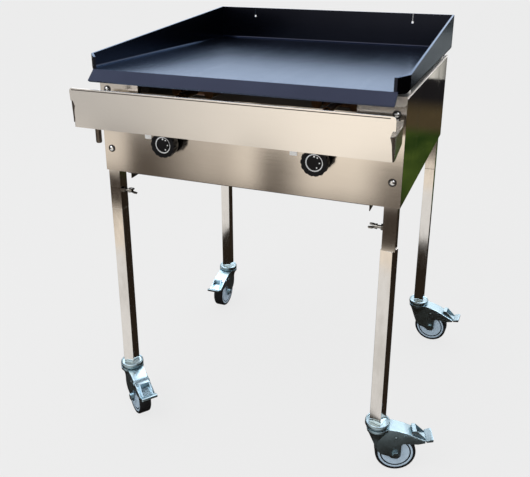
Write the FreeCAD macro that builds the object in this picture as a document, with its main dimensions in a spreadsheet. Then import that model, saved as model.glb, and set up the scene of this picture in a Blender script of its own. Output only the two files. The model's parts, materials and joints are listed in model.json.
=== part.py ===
import FreeCAD, Part
import math
import os

import Sketcher

# Outdoor gas griddle station: a steel plate on a gas box, four legs on braked casters.
# Millimetres, +Z up, front towards -Y. The origin is on the floor, midway between the casters.

doc = FreeCAD.newDocument("griddle_station")
sheet = doc.addObject("Spreadsheet::Sheet", "dims")

SIZES = {
    # Gas box and its panels
    "box_width": 736,
    "box_depth": 668,
    "panel_height": 237,
    "panel_sheet": 1.5,
    "side_sheet": 2,
    # Legs
    "tube_side": 30,
    "tube_wall": 2,
    "socket_drop": 103,
    "lower_leg_length": 457,
    "insert_radius": 12.6,
    "insert_length": 115,
    "leg_twist_angle": 14.5,
    # Plate rails and levelling screws
    "rail_sheet": 3,
    "rail_rise": 6,
    "rail_flange": 25,
    "rail_drop": 40,
    "tab_drop": 18,
    "tab_gap": 1.5,
    "level_height": 10,
    "level_head_radius": 8,
    "level_shank_radius": 4,
    "level_from_face": 64,
    "level_inset": 11,
    # Griddle plate
    "plate_sheet": 5,
    "plate_side_reach": 6,
    "plate_back_reach": 32,
    "back_wall_height": 96,
    "front_wall_height": 32,
    "flap_reach": 16,
    "flap_inset": 22,
    "flap_drop": 4,
    "fold_reach": 40,
    "lip_reach": 24.5,
    "lip_drop": 23,
    "lip_inset": 20,
    "lip_corner": 7,
    "plate_bend": 10,
    "hang_hole_radius": 3.5,
    "hang_hole_offset": 254,
    "hang_hole_height": 70,
    "hang_slit": 1.5,
    # Front panel
    "window_half": 264,
    "window_depth": 52,
    "window_fold": 12,
    "knob_rise": 91,
    "stem_hole_radius": 9,
    "screw_low": 57,
    "screw_high": 204,
    "screw_shank_radius": 3,
    "screw_head_radius": 6,
    "screw_crown_radius": 3.6,
    "screw_head_height": 3.5,
    "screw_length": 12,
    "washer_radius": 9.25,
    "washer_sheet": 1.2,
    # Bottom rails
    "bottom_rail_left_gap": 41,
    "bottom_rail_right_gap": 45,
    "bottom_rail_depth": 40,
    "bottom_rail_flange": 22,
    "bottom_rail_ear": 15,
    "bottom_rail_ear_rise": 2,
    "bottom_rail_ear_inset": 8,
    "bottom_rail_sheet": 2,
    # Grease trough
    "trough_sheet": 1.5,
    "trough_rim_reach": 115,
    "trough_rim_drop": 11,
    "trough_height": 91,
    "trough_lean": 6,
    "trough_stand_off": 34,
    "trough_back_drop": 26,
    "trough_floor_rise": 18,
    "trough_end_height": 50,
    "trough_end_rise": 6,
    "trough_end_bend": 12,
    "trough_rim_corner": 8,
    "trough_hem": 9,
    "hanger_width": 40,
    "hanger_offset": 300,
    "hanger_sheet": 3,
    "hanger_rise": 24,
    "hanger_foot": 26,
    "hook_gap": 1.5,
    "hook_reach": 14,
    # White tags on the panel
    "tag_width": 17.3,
    "tag_height": 24,
    "tag_sheet": 1,
    "tag_corner": 2.5,
    "tag_shift": 58.5,
    # Gas
    "pipe_radius": 7.5,
    "pipe_wall": 1.5,
    "pipe_rise": 36,
    "pipe_set_back": 41,
    "pipe_end_reach": 48,
    "pipe_bend": 15,
    "inlet_reach": 46.5,
    "inlet_drop": 76,
    "valve_width": 26,
    "valve_base": 12,
    "valve_back": 10,
    "nozzle_radius": 5,
    "nozzle_entry": 6,
    "burner_radius": 12.5,
    "burner_wall": 2,
    "burner_rise": 187,
    "burner_set_back": 50,
    "burner_cross_back": 144,
    "burner_end_gap": 84,
    "burner_cross_radius": 10.5,
    "burner_feed_radius": 9,
    "burner_spread": 45,
    "burner_rail_offset": 120,
    "burner_rail_sheet": 2,
    "burner_rail_leg": 22,
    # Knobs and stems
    "stem_radius": 4,
    "stem_entry": 12,
    "knob_radius": 32,
    "knob_back_radius": 28.5,
    "knob_face_radius": 30.5,
    "knob_flare_height": 19,
    "knob_depth": 24,
    "knob_face": 35,
    "knob_wall": 3,
    "knob_groove_radius": 12,
    "knob_groove_centre": 41.9,
    "knob_recess_radius": 20,
    "knob_recess_depth": 3,
    "knob_travel": 3,
    # Wing bolts and weld nuts
    "bolt_rise": 49,
    "bolt_radius": 4,
    "bolt_project": 34,
    "nut_radius": 8,
    "nut_height": 6,
    "wing_hub_radius": 6.5,
    "wing_hub_length": 9,
    "wing_hub_end_radius": 5.2,
    "wing_span": 25,
    "wing_length": 19,
    "wing_notch": 8.1,
    "wing_sheet": 3.5,
    "wing_angle_front_left": 38,
    "wing_angle_front_right": 88,
    "wing_angle_back_left": 38,
    "wing_angle_back_right": 38,
    # Casters
    "caster_height": 135,
    "wheel_radius": 50,
    "wheel_trail": 46.5,
    "disc_radius": 45,
    "tyre_width": 32,
    "hub_radius": 13,
    "hub_gap": 1,
    "axle_radius": 6,
    "axle_head_radius": 9,
    "axle_head_height": 6,
    "head_radius": 30.5,
    "head_flat_radius": 22,
    "head_shoulder": 4,
    "head_ring": 10,
    "fork_ring": 9,
    "fork_sheet": 2.5,
    "fork_half": 21,
    "kingpin_radius": 6,
    "kingpin_head_radius": 11,
    "kingpin_head_height": 3,
    "spigot_radius": 12.8,
    "spigot_length": 30,
    "pedal_pivot_reach": 68,
    "pedal_pivot_height": 102,
    "pedal_pin_radius": 3,
    "pedal_pin_head_radius": 5.5,
    "pedal_pin_head_height": 1.6,
    "pedal_ear_sheet": 1.5,
    "pedal_sheet": 2.5,
    "pedal_width": 36,
    "pedal_ear_radius": 6,
    "pedal_floor_drop": 4,
    "heel_start": 85,
    "heel_end": 94.5,
    "heel_height": 115,
    "heel_width": 24,
    "tread_tilt": 4.5,
    "fork_boss": 12.5,
    "fork_throat": 20.5,
    "fork_tip_reach": 48,
    "fork_tip_top": 10.5,
    "fork_tip_low": 16,
    "fork_brow_reach": 23,
    "fork_brow_rise": 0.5,
    "fork_crown": 10.5,
    "fork_shoulder_reach": 50,
    "fork_shoulder_drop": 3.5,
    "fork_mouth": 11,
    "rivet_radius": 5,
    "rivet_height": 1.5,
    "disc_set": 1,
    "disc_groove": 3,
    "disc_groove_radius": 36.6,
    "tyre_shoulder": 4,
    "tread_width": 43,
    "tread_height": 92.5,
    "tread_start": 119,
    "tread_end": 135.5,
    "tread_thickness": 4.5,
    "swivel_angle_front_left": -38.4,
    "swivel_angle_front_right": 18,
    "swivel_angle_back_left": -88.7,
    "swivel_angle_back_right": -3.6,
    # Clearances
    "run_gap": 0.05,
    "face_gap": 0.3,
    # How far a cutting shape runs past the metal
    "overrun": 40,
}

for row, (alias, value) in enumerate(SIZES.items(), start=1):
    sheet.set(f"A{row}", alias)
    sheet.set(f"B{row}", str(value))
    sheet.setAlias(f"B{row}", alias)
doc.recompute()


def dim(text):
    """Put the sheet's name before every alias in a formula."""
    words = []
    for word in text.replace("(", " ( ").replace(")", " ) ").split():
        words.append(f"dims.{word}" if word in SIZES else word)
    return "(" + " ".join(words) + ")"


def number(formula):
    """The value of a formula now, for code that needs a number."""
    return float(sheet.evalExpression(formula))


# Heights and places that follow from the sizes
LEG_JOINT = dim("caster_height + lower_leg_length")
BOX_BOTTOM = dim("caster_height + lower_leg_length + socket_drop")
BOX_TOP = f"({BOX_BOTTOM} + dims.panel_height)"
RAIL_TOP = f"({BOX_TOP} + dims.rail_rise)"
PLATE_UNDER = f"({RAIL_TOP} + dims.level_height)"
PLATE_TOP = f"({PLATE_UNDER} + dims.plate_sheet)"
BOX_SIDE = dim("box_width / 2")
BOX_FRONT = dim("box_depth / 2")
PLATE_HALF = dim("box_width / 2 + plate_side_reach")
PLATE_BACK = dim("box_depth / 2 + plate_back_reach")
FLAP_START = dim("box_depth / 2 + flap_reach")
LIP_FOLD = dim("box_depth / 2 + fold_reach")
LIP_HALF = dim("box_width / 2 + plate_side_reach - lip_inset")
LEG_X = dim("box_width / 2 - side_sheet - rail_sheet - tube_side / 2")
LEG_Y = dim("box_depth / 2 - panel_sheet - tube_side / 2")
LEVEL_Y = dim("box_depth / 2 - level_from_face")
KNOB_X = dim("box_width / 4")
KNOB_Z = f"({BOX_BOTTOM} + dims.knob_rise)"
PIPE_Y = dim("pipe_set_back - box_depth / 2")
PIPE_Z = f"({KNOB_Z} + dims.pipe_rise)"
INLET_X = dim("-1 * box_width / 2 - inlet_reach")
BURNER_Z = f"({BOX_BOTTOM} + dims.burner_rise)"
TROUGH_RIM = f"({BOX_TOP} - dims.trough_rim_drop)"
TROUGH_FLOOR = f"({TROUGH_RIM} - dims.trough_height)"
TROUGH_FRONT = dim("box_depth / 2 + trough_rim_reach")
TROUGH_BACK = dim("box_depth / 2 + trough_stand_off")

ALONG_X = FreeCAD.Rotation(FreeCAD.Vector(0, 1, 0), 90)
ALONG_Y = FreeCAD.Rotation(FreeCAD.Vector(1, 0, 0), -90)
ALONG_Z = FreeCAD.Rotation()
PLANES = {
    "XY": (FreeCAD.Rotation(), FreeCAD.Vector(0, 0, 1)),
    "XZ": (FreeCAD.Rotation(FreeCAD.Vector(1, 0, 0), 90), FreeCAD.Vector(0, 1, 0)),
    "YZ": (FreeCAD.Rotation(FreeCAD.Vector(1, 1, 1), 120), FreeCAD.Vector(1, 0, 0)),
}
pieces = []


def bind(item, **formulas):
    for name, formula in formulas.items():
        item.setExpression(name, formula)
    return item


def place(item, x="0", y="0", z="0"):
    item.setExpression("Placement.Base.x", x)
    item.setExpression("Placement.Base.y", y)
    item.setExpression("Placement.Base.z", z)
    return item


def turn(item, axis, formula):
    """Turn an item about an axis by an angle in degrees from the sheet."""
    item.Placement.Rotation = FreeCAD.Rotation(FreeCAD.Vector(*axis), 1)
    item.setExpression("Placement.Rotation.Angle", formula)
    return item


def box(x0, x1, y0, y1, z0, z1):
    """Block between two corners, each coordinate a formula."""
    item = doc.addObject("Part::Box", "block")
    bind(item, Length=f"({x1}) - ({x0})", Width=f"({y1}) - ({y0})", Height=f"({z1}) - ({z0})")
    return place(item, x0, y0, z0)


def rod(direction, radius, length, x="0", y="0", z="0"):
    """Cylinder that starts at a point and runs along +X, +Y or +Z."""
    item = doc.addObject("Part::Cylinder", "rod")
    item.Placement.Rotation = direction
    bind(item, Radius=radius, Height=length)
    return place(item, x, y, z)


def cone(direction, start_radius, end_radius, length, x="0", y="0", z="0"):
    item = doc.addObject("Part::Cone", "cone")
    item.Placement.Rotation = direction
    bind(item, Radius1=start_radius, Radius2=end_radius, Height=length)
    return place(item, x, y, z)


def ball(radius, x, y, z):
    item = doc.addObject("Part::Sphere", "ball")
    bind(item, Radius=radius)
    return place(item, x, y, z)


def fuse(*items):
    if len(items) == 1:
        return items[0]
    item = doc.addObject("Part::MultiFuse", "fuse")
    item.Shapes = list(items)
    item.Refine = True
    return item


def cut(base, *tools):
    item = doc.addObject("Part::Cut", "cut")
    item.Base = base
    item.Tool = fuse(*tools)
    item.Refine = True
    return item


def common(first, second):
    item = doc.addObject("Part::Common", "common")
    item.Base = first
    item.Tool = second
    item.Refine = True
    return item


def group(*items):
    """Separate solids kept in one object."""
    item = doc.addObject("Part::Compound", "group")
    item.Links = list(items)
    return item


def finish(item, label):
    """Give a sub-part its name and put it on the list to write."""
    item.Label = label
    pieces.append(item)
    return item


def corner_points(before, corner, after, radius):
    """Start, centre and end of the arc that rounds a corner."""
    into = (before - corner).normalize()
    out = (after - corner).normalize()
    half = into.getAngle(out) / 2
    reach = radius / math.tan(half)
    middle = (into + out).normalize()
    return corner + into * reach, corner + middle * (radius / math.sin(half)), corner + out * reach


def outline(plane, points, rounds=None):
    """Closed sketch whose corners are formulas; rounds gives some corners a radius."""
    rounds = rounds or {}
    sketch = doc.addObject("Sketcher::SketchObject", "outline")
    sketch.Placement.Rotation = PLANES[plane][0]
    spots = [FreeCAD.Vector(number(x), number(y), 0) for x, y in points]
    count = len(points)
    arcs = {}
    starts = list(spots)
    ends = list(spots)
    for i, formula in rounds.items():
        start, centre, end = corner_points(spots[i - 1], spots[i], spots[(i + 1) % count], number(formula))
        arcs[i] = (start, centre, end)
        ends[i] = start
        starts[i] = end
    for i in range(count):
        sketch.addGeometry(Part.LineSegment(starts[i], ends[(i + 1) % count]), False)
    for i in range(count):
        x, y = points[i]
        line_in = (i - 1) % count
        if i not in arcs:
            sketch.addConstraint(Sketcher.Constraint("Coincident", line_in, 2, i, 1))
            across = sketch.addConstraint(Sketcher.Constraint("DistanceX", -1, 1, i, 1, spots[i].x))
            up = sketch.addConstraint(Sketcher.Constraint("DistanceY", -1, 1, i, 1, spots[i].y))
        else:
            start, centre, end = arcs[i]
            radius = number(rounds[i])
            a0 = math.atan2(start.y - centre.y, start.x - centre.x)
            a1 = math.atan2(end.y - centre.y, end.x - centre.x)
            left_turn = (spots[i] - spots[i - 1]).cross(spots[(i + 1) % count] - spots[i]).z > 0
            circle = Part.Circle(centre, FreeCAD.Vector(0, 0, 1), radius)
            if left_turn:
                arc = sketch.addGeometry(Part.ArcOfCircle(circle, a0, a1), False)
                first, last = 1, 2
            else:
                arc = sketch.addGeometry(Part.ArcOfCircle(circle, a1, a0), False)
                first, last = 2, 1
            mark = sketch.addGeometry(Part.Point(spots[i]), True)
            sketch.addConstraint(Sketcher.Constraint("Tangent", line_in, 2, arc, first))
            sketch.addConstraint(Sketcher.Constraint("Tangent", arc, last, i, 1))
            size = sketch.addConstraint(Sketcher.Constraint("Radius", arc, radius))
            sketch.renameConstraint(size, f"r{i}")
            sketch.setExpression(f"Constraints.r{i}", rounds[i])
            sketch.addConstraint(Sketcher.Constraint("PointOnObject", mark, 1, line_in))
            sketch.addConstraint(Sketcher.Constraint("PointOnObject", mark, 1, i))
            across = sketch.addConstraint(Sketcher.Constraint("DistanceX", -1, 1, mark, 1, spots[i].x))
            up = sketch.addConstraint(Sketcher.Constraint("DistanceY", -1, 1, mark, 1, spots[i].y))
        sketch.renameConstraint(across, f"x{i}")
        sketch.renameConstraint(up, f"y{i}")
        sketch.setExpression(f"Constraints.x{i}", x)
        sketch.setExpression(f"Constraints.y{i}", y)
    return sketch


def slab(plane, points, low, high, rounds=None):
    """An outline made solid between two places along its plane's own axis."""
    item = doc.addObject("Part::Extrusion", "slab")
    item.Base = outline(plane, points, rounds)
    item.DirMode = "Custom"
    item.Dir = PLANES[plane][1]
    item.Solid = True
    bind(item, LengthFwd=high, LengthRev=f"-({low})")
    return item


def lathe(profile):
    """A profile in the XZ plane, given as radius and height, spun about the Z axis."""
    body = doc.addObject("PartDesign::Body", "turned")
    plane = [face for face in body.Origin.OriginFeatures if face.Role == "XZ_Plane"][0]
    sketch = body.newObject("Sketcher::SketchObject", "profile")
    sketch.AttachmentSupport = [(plane, "")]
    sketch.MapMode = "FlatFace"
    spots = [FreeCAD.Vector(number(r), number(z), 0) for r, z in profile]
    count = len(profile)
    for i in range(count):
        sketch.addGeometry(Part.LineSegment(spots[i], spots[(i + 1) % count]), False)
    for i, (r, z) in enumerate(profile):
        sketch.addConstraint(Sketcher.Constraint("Coincident", (i - 1) % count, 2, i, 1))
        if number(r) == 0:
            sketch.addConstraint(Sketcher.Constraint("PointOnObject", i, 1, -2))
        else:
            across = sketch.addConstraint(Sketcher.Constraint("DistanceX", -1, 1, i, 1, spots[i].x))
            sketch.renameConstraint(across, f"r{i}")
            sketch.setExpression(f"Constraints.r{i}", r)
        up = sketch.addConstraint(Sketcher.Constraint("DistanceY", -1, 1, i, 1, spots[i].y))
        sketch.renameConstraint(up, f"z{i}")
        sketch.setExpression(f"Constraints.z{i}", z)
    spin = body.newObject("PartDesign::Revolution", "spin")
    spin.Profile = sketch
    spin.ReferenceAxis = (sketch, ["V_Axis"])
    spin.Angle = 360
    body.Tip = spin
    return body


SIDES = {"left": -1, "right": 1}
ENDS = {"front": -1, "back": 1}
CORNERS = [(end, side) for end in ENDS for side in SIDES]

# Griddle plate: one folded steel pan, open at the front, with a drain lip.
# The pan is an outer form less an inner form, both cut to the wall's side view.
wall = "dims.plate_sheet"
flap_half = f"({PLATE_HALF} - dims.flap_inset)"
outer_plan = [
    (f"-{PLATE_HALF}", PLATE_BACK),
    (f"-{PLATE_HALF}", f"-{FLAP_START}"),
    (f"-{flap_half}", f"-{LIP_FOLD}"),
    (flap_half, f"-{LIP_FOLD}"),
    (PLATE_HALF, f"-{FLAP_START}"),
    (PLATE_HALF, PLATE_BACK),
]
flap_angle = "atan2(dims.flap_inset; dims.fold_reach - dims.flap_reach)"
bend_shift = f"{wall} * tan({flap_angle} / 2)"
flap_shift = f"{wall} / cos({flap_angle})"
slope = dim("flap_inset / ( fold_reach - flap_reach )")
FRONT_PAST = f"({LIP_FOLD} + dims.overrun)"
BACK_PAST = f"({PLATE_BACK} + dims.overrun)"
inner_half = f"({PLATE_HALF} - {wall})"
inner_back = f"({PLATE_BACK} - {wall})"
inner_front = f"({flap_half} - {flap_shift} - dims.overrun * {slope})"
inner_plan = [
    (f"-{inner_half}", inner_back),
    (f"-{inner_half}", f"-({FLAP_START} - {bend_shift})"),
    (f"-{inner_front}", f"-{FRONT_PAST}"),
    (inner_front, f"-{FRONT_PAST}"),
    (inner_half, f"-({FLAP_START} - {bend_shift})"),
    (inner_half, inner_back),
]
BACK_TOP = f"({PLATE_TOP} + dims.back_wall_height)"
ABOVE = f"({BACK_TOP} + dims.overrun)"
FOLD_TOP = f"({PLATE_TOP} + dims.front_wall_height)"
side_view = [
    (f"-{LIP_FOLD}", PLATE_UNDER),
    (PLATE_BACK, PLATE_UNDER),
    (PLATE_BACK, BACK_TOP),
    (inner_back, BACK_TOP),
    (f"-{FLAP_START}", FOLD_TOP),
    (f"-{LIP_FOLD}", f"{FOLD_TOP} - dims.flap_drop"),
]
outer_across = [
    (f"-{PLATE_HALF}", PLATE_UNDER),
    (PLATE_HALF, PLATE_UNDER),
    (PLATE_HALF, BACK_TOP),
    (f"-{PLATE_HALF}", BACK_TOP),
]
bend = "dims.plate_bend"
outer = common(
    common(
        slab("XY", outer_plan, PLATE_UNDER, BACK_TOP),
        slab("YZ", side_view, f"-{PLATE_HALF}", PLATE_HALF, {1: bend}),
    ),
    slab("XZ", outer_across, f"-{FRONT_PAST}", BACK_PAST, {0: bend, 1: bend}),
)
pan_round = dim("plate_bend - plate_sheet")
inner_view = [
    (f"-{FRONT_PAST}", PLATE_TOP),
    (inner_back, PLATE_TOP),
    (inner_back, ABOVE),
    (f"-{FRONT_PAST}", ABOVE),
]
inner_across = [
    (f"-{inner_half}", PLATE_TOP),
    (inner_half, PLATE_TOP),
    (inner_half, ABOVE),
    (f"-{inner_half}", ABOVE),
]
inner = common(
    common(
        slab("XY", inner_plan, PLATE_TOP, ABOVE),
        slab("YZ", inner_view, f"-{PLATE_HALF}", PLATE_HALF, {1: pan_round}),
    ),
    slab("XZ", inner_across, f"-{FRONT_PAST}", BACK_PAST, {0: pan_round, 1: pan_round}),
)
lip_angle = "atan2(dims.lip_drop; dims.lip_reach)"
lip_tip = f"(-{LIP_FOLD} - dims.lip_reach)"
lip_low = f"({PLATE_TOP} - dims.lip_drop)"
lip_view = [
    (f"-{LIP_FOLD}", PLATE_TOP),
    (lip_tip, lip_low),
    (f"{lip_tip} + {wall} * sin({lip_angle})", f"{lip_low} - {wall} * cos({lip_angle})"),
    (f"-{LIP_FOLD} + {wall} * tan({lip_angle} / 2)", PLATE_UNDER),
    (f"-{LIP_FOLD} + {wall}", PLATE_UNDER),
    (f"-{LIP_FOLD} + {wall}", PLATE_TOP),
]
lip_bottom = f"({lip_low} - {wall})"
lip_across = [
    (f"-{LIP_HALF}", lip_bottom),
    (LIP_HALF, lip_bottom),
    (LIP_HALF, PLATE_TOP),
    (f"-{LIP_HALF}", PLATE_TOP),
]
corner = "dims.lip_corner"
lip = common(
    slab("YZ", lip_view, f"-{LIP_HALF}", LIP_HALF),
    slab("XZ", lip_across, f"-{FRONT_PAST}", "0", {0: corner, 1: corner}),
)
hang_y = f"({PLATE_BACK} - 2 * {wall})"
hang_z = f"({PLATE_TOP} + dims.hang_hole_height)"
holes = []
for sign in SIDES.values():
    x = f"({sign} * dims.hang_hole_offset)"
    holes.append(rod(ALONG_Y, "dims.hang_hole_radius", f"3 * {wall}", x, hang_y, hang_z))
    holes.append(box(f"{x} - dims.hang_slit / 2", f"{x} + dims.hang_slit / 2",
                     hang_y, f"{PLATE_BACK} + {wall}", hang_z, ABOVE))
finish(fuse(cut(outer, inner, *holes), lip), "griddle_plate")

# Front panel: a sheet with a deep window at the top whose sides are folded in.
WINDOW_LOW = f"({BOX_TOP} - dims.window_depth)"
panel_points = [
    (f"-{BOX_SIDE}", BOX_BOTTOM),
    (BOX_SIDE, BOX_BOTTOM),
    (BOX_SIDE, BOX_TOP),
    ("dims.window_half", BOX_TOP),
    ("dims.window_half", WINDOW_LOW),
    ("-dims.window_half", WINDOW_LOW),
    ("-dims.window_half", BOX_TOP),
    (f"-{BOX_SIDE}", BOX_TOP),
]
FRONT_INNER = dim("box_depth / 2 - panel_sheet")
panel = slab("XZ", panel_points, f"-{BOX_FRONT}", f"-{FRONT_INNER}")
folds = []
for sign in SIDES.values():
    edge = f"({sign} * dims.window_half)"
    out = f"({edge} + {sign} * dims.panel_sheet)"
    low, high = (out, edge) if sign < 0 else (edge, out)
    folds.append(box(low, high, f"-{FRONT_INNER}", f"-{FRONT_INNER} + dims.window_fold", WINDOW_LOW, BOX_TOP))
FOLD_OUT = dim("window_half + panel_sheet")
folds.append(box(f"-{FOLD_OUT}", FOLD_OUT, f"-{FRONT_INNER}", f"-{FRONT_INNER} + dims.window_fold",
                 f"{WINDOW_LOW} - dims.panel_sheet", WINDOW_LOW))
panel_holes = []
for sign in SIDES.values():
    panel_holes.append(rod(ALONG_Y, "dims.stem_hole_radius", "6 * dims.panel_sheet",
                           f"{sign} * {KNOB_X}", f"-{BOX_FRONT} - 2 * dims.panel_sheet", KNOB_Z))
    for rise in ("dims.screw_low", "dims.screw_high"):
        panel_holes.append(rod(ALONG_Y, "dims.screw_shank_radius + dims.run_gap", "6 * dims.panel_sheet",
                               f"{sign} * {LEG_X}", f"-{BOX_FRONT} - 2 * dims.panel_sheet", f"{BOX_BOTTOM} + {rise}"))
finish(cut(fuse(panel, *folds), *panel_holes), "front_panel")

# Back panel: a plain sheet between the same heights.
finish(box(f"-{BOX_SIDE}", BOX_SIDE, FRONT_INNER, BOX_FRONT, BOX_BOTTOM, BOX_TOP), "back_panel")

# Side panels: plain sheets between front and back; the gas pipe leaves through the left one.
for side, sign in SIDES.items():
    low, high = (f"-{BOX_SIDE}", f"-{BOX_SIDE} + dims.side_sheet")
    if sign > 0:
        low, high = (f"{BOX_SIDE} - dims.side_sheet", BOX_SIDE)
    panel = box(low, high, f"-{FRONT_INNER}", FRONT_INNER, BOX_BOTTOM, BOX_TOP)
    if side == "left":
        hole = rod(ALONG_X, "dims.pipe_radius + dims.run_gap", "5 * dims.side_sheet",
                   f"-{BOX_SIDE} - dims.side_sheet", PIPE_Y, PIPE_Z)
        panel = cut(panel, hole)
    finish(panel, f"{side}_side_panel")

# Plate rails: an angle along each side whose front end is bent down over the front panel.
WEB_OUT = dim("box_width / 2 - side_sheet")
WEB_IN = dim("box_width / 2 - side_sheet - rail_sheet")
for side, sign in SIDES.items():
    flange_low = dim("box_width / 2 - rail_flange")
    web = box(WEB_IN, WEB_OUT, f"-{FRONT_INNER}", FRONT_INNER,
              f"{BOX_TOP} - dims.rail_drop", f"{RAIL_TOP} - dims.rail_sheet")
    tab_front = f"(-{BOX_FRONT} - dims.tab_gap - dims.rail_sheet)"
    flange = box(flange_low, BOX_SIDE, tab_front, FRONT_INNER, f"{RAIL_TOP} - dims.rail_sheet", RAIL_TOP)
    tab_points = [
        (flange_low, f"{RAIL_TOP} - dims.rail_sheet - dims.tab_drop"),
        (BOX_SIDE, f"{RAIL_TOP} - dims.rail_sheet - dims.tab_drop"),
        (BOX_SIDE, f"{RAIL_TOP} - dims.rail_sheet"),
        (flange_low, f"{RAIL_TOP} - dims.rail_sheet"),
    ]
    tab = slab("XZ", tab_points, tab_front, f"{tab_front} + dims.rail_sheet", {1: "dims.trough_rim_corner"})
    bores = []
    for end in ENDS.values():
        bores.append(rod(ALONG_Z, "dims.level_shank_radius + dims.run_gap", "3 * dims.rail_sheet",
                         f"{flange_low} + dims.level_inset", f"{end} * {LEVEL_Y}",
                         f"{RAIL_TOP} - 2 * dims.rail_sheet"))
    rail = cut(fuse(web, flange, tab), *bores)
    if sign < 0:
        mirror = doc.addObject("Part::Mirroring", "mirror")
        mirror.Source = rail
        mirror.Normal = FreeCAD.Vector(1, 0, 0)
        rail = mirror
    finish(rail, f"plate_rail_{side}")

# Levelling screws: the plate rests on their heads, a little above the rails.
levels = []
for side in SIDES.values():
    for end in ENDS.values():
        x = f"({side} * ({BOX_SIDE} - dims.rail_flange + dims.level_inset))"
        y = f"({end} * {LEVEL_Y})"
        head = rod(ALONG_Z, "dims.level_head_radius", "dims.level_height - dims.face_gap", x, y, RAIL_TOP)
        shank = rod(ALONG_Z, "dims.level_shank_radius", "2 * dims.level_height", x, y,
                    f"{RAIL_TOP} - 2 * dims.level_height")
        nut = rod(ALONG_Z, "dims.level_head_radius", "dims.nut_height", x, y,
                  f"{RAIL_TOP} - dims.rail_sheet - dims.nut_height")
        levels.append(fuse(head, shank, nut))
finish(group(*levels), "levelling_screws")

# Bottom rails: an angle under each long edge with a plate turned down near each end.
for end, sign in ENDS.items():
    left = f"-({LEG_X} - dims.bottom_rail_left_gap)"
    right = f"({LEG_X} - dims.bottom_rail_right_gap)"
    sheet_t = "dims.bottom_rail_sheet"
    flange = box(left, right, f"-{FRONT_INNER}", f"-{FRONT_INNER} + {sheet_t}",
                 BOX_BOTTOM, f"{BOX_BOTTOM} + dims.bottom_rail_flange")
    floor = box(left, right, f"-{FRONT_INNER}", f"-{FRONT_INNER} + dims.bottom_rail_depth",
                f"{BOX_BOTTOM} - {sheet_t}", BOX_BOTTOM)
    rib_points = [
        (f"-{FRONT_INNER}", f"{BOX_BOTTOM} - dims.bottom_rail_ear"),
        (f"-{FRONT_INNER} + dims.bottom_rail_depth",
         f"{BOX_BOTTOM} - dims.bottom_rail_ear + dims.bottom_rail_ear_rise"),
        (f"-{FRONT_INNER} + dims.bottom_rail_depth", f"{BOX_BOTTOM} - {sheet_t}"),
        (f"-{FRONT_INNER}", f"{BOX_BOTTOM} - {sheet_t}"),
    ]
    ribs = [
        slab("YZ", rib_points, f"{left} + dims.bottom_rail_ear_inset",
             f"{left} + dims.bottom_rail_ear_inset + {sheet_t}"),
        slab("YZ", rib_points, f"{right} - {sheet_t}", right),
    ]
    rail = fuse(flange, floor, *ribs)
    if sign > 0:
        mirror = doc.addObject("Part::Mirroring", "mirror")
        mirror.Source = rail
        mirror.Normal = FreeCAD.Vector(0, 1, 0)
        rail = mirror
    finish(rail, "front_bottom_rail" if sign < 0 else "rear_bottom_rail")

# Grease trough: a folded pan in front of the panel, hooked over two hangers.
TROUGH_BACK_TOP = f"({TROUGH_RIM} - dims.trough_back_drop)"
lean = dim("trough_lean / trough_height")
sheet_t = "dims.trough_sheet"
front_foot = f"({TROUGH_FRONT} - dims.trough_lean)"
back_low = f"({TROUGH_FLOOR} + dims.trough_floor_rise)"
end_front = f"({TROUGH_FLOOR} + dims.trough_end_height)"
end_back = f"({end_front} + dims.trough_end_rise)"
pan_out = [
    (f"-{front_foot}", TROUGH_FLOOR),
    (f"-{TROUGH_BACK}", back_low),
    (f"-{TROUGH_BACK}", end_back),
    (f"-{front_foot} - {lean} * dims.trough_end_height", end_front),
]
pan_in = [
    (f"-{front_foot} + {sheet_t}", f"{TROUGH_FLOOR} + {sheet_t}"),
    (f"-{TROUGH_BACK} - {sheet_t}", f"{back_low} + {sheet_t}"),
    (f"-{TROUGH_BACK} - {sheet_t}", f"{end_back} + dims.overrun"),
    (f"-{front_foot} + {sheet_t} - {lean} * (dims.trough_end_height + dims.overrun)",
     f"{end_front} + dims.overrun"),
]
bend = "dims.trough_end_bend"
inner_bend = dim("trough_end_bend - trough_sheet")
pan_front = f"({front_foot} + {lean} * dims.trough_end_height)"
plan_out = [
    (f"-{BOX_SIDE}", f"-{pan_front}"),
    (BOX_SIDE, f"-{pan_front}"),
    (BOX_SIDE, f"-{TROUGH_BACK}"),
    (f"-{BOX_SIDE}", f"-{TROUGH_BACK}"),
]
pan_outer = common(
    slab("YZ", pan_out, f"-{BOX_SIDE}", BOX_SIDE),
    slab("XY", plan_out, TROUGH_FLOOR, end_back, {0: bend, 1: bend}),
)
plan_in = [
    (f"-{BOX_SIDE} + {sheet_t}", f"-{pan_front} + {sheet_t}"),
    (f"{BOX_SIDE} - {sheet_t}", f"-{pan_front} + {sheet_t}"),
    (f"{BOX_SIDE} - {sheet_t}", f"-{TROUGH_BACK} + {sheet_t}"),
    (f"-{BOX_SIDE} + {sheet_t}", f"-{TROUGH_BACK} + {sheet_t}"),
]
pan_inner = common(
    slab("YZ", pan_in, f"-{BOX_SIDE}", BOX_SIDE),
    slab("XY", plan_in, TROUGH_FLOOR, f"{end_back} + dims.overrun", {0: inner_bend, 1: inner_bend}),
)
relief_low = f"({end_front} - {bend} / 2)"
relief_high = f"({end_front} + {bend})"
flange_points = [
    (f"-({BOX_SIDE} - {bend})", relief_low),
    (f"{BOX_SIDE} - {bend}", relief_low),
    (f"{BOX_SIDE} - {bend} / 2", relief_high),
    (BOX_SIDE, relief_high),
    (BOX_SIDE, TROUGH_RIM),
    (f"-{BOX_SIDE}", TROUGH_RIM),
    (f"-{BOX_SIDE}", relief_high),
    (f"-({BOX_SIDE} - {bend} / 2)", relief_high),
]
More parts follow.
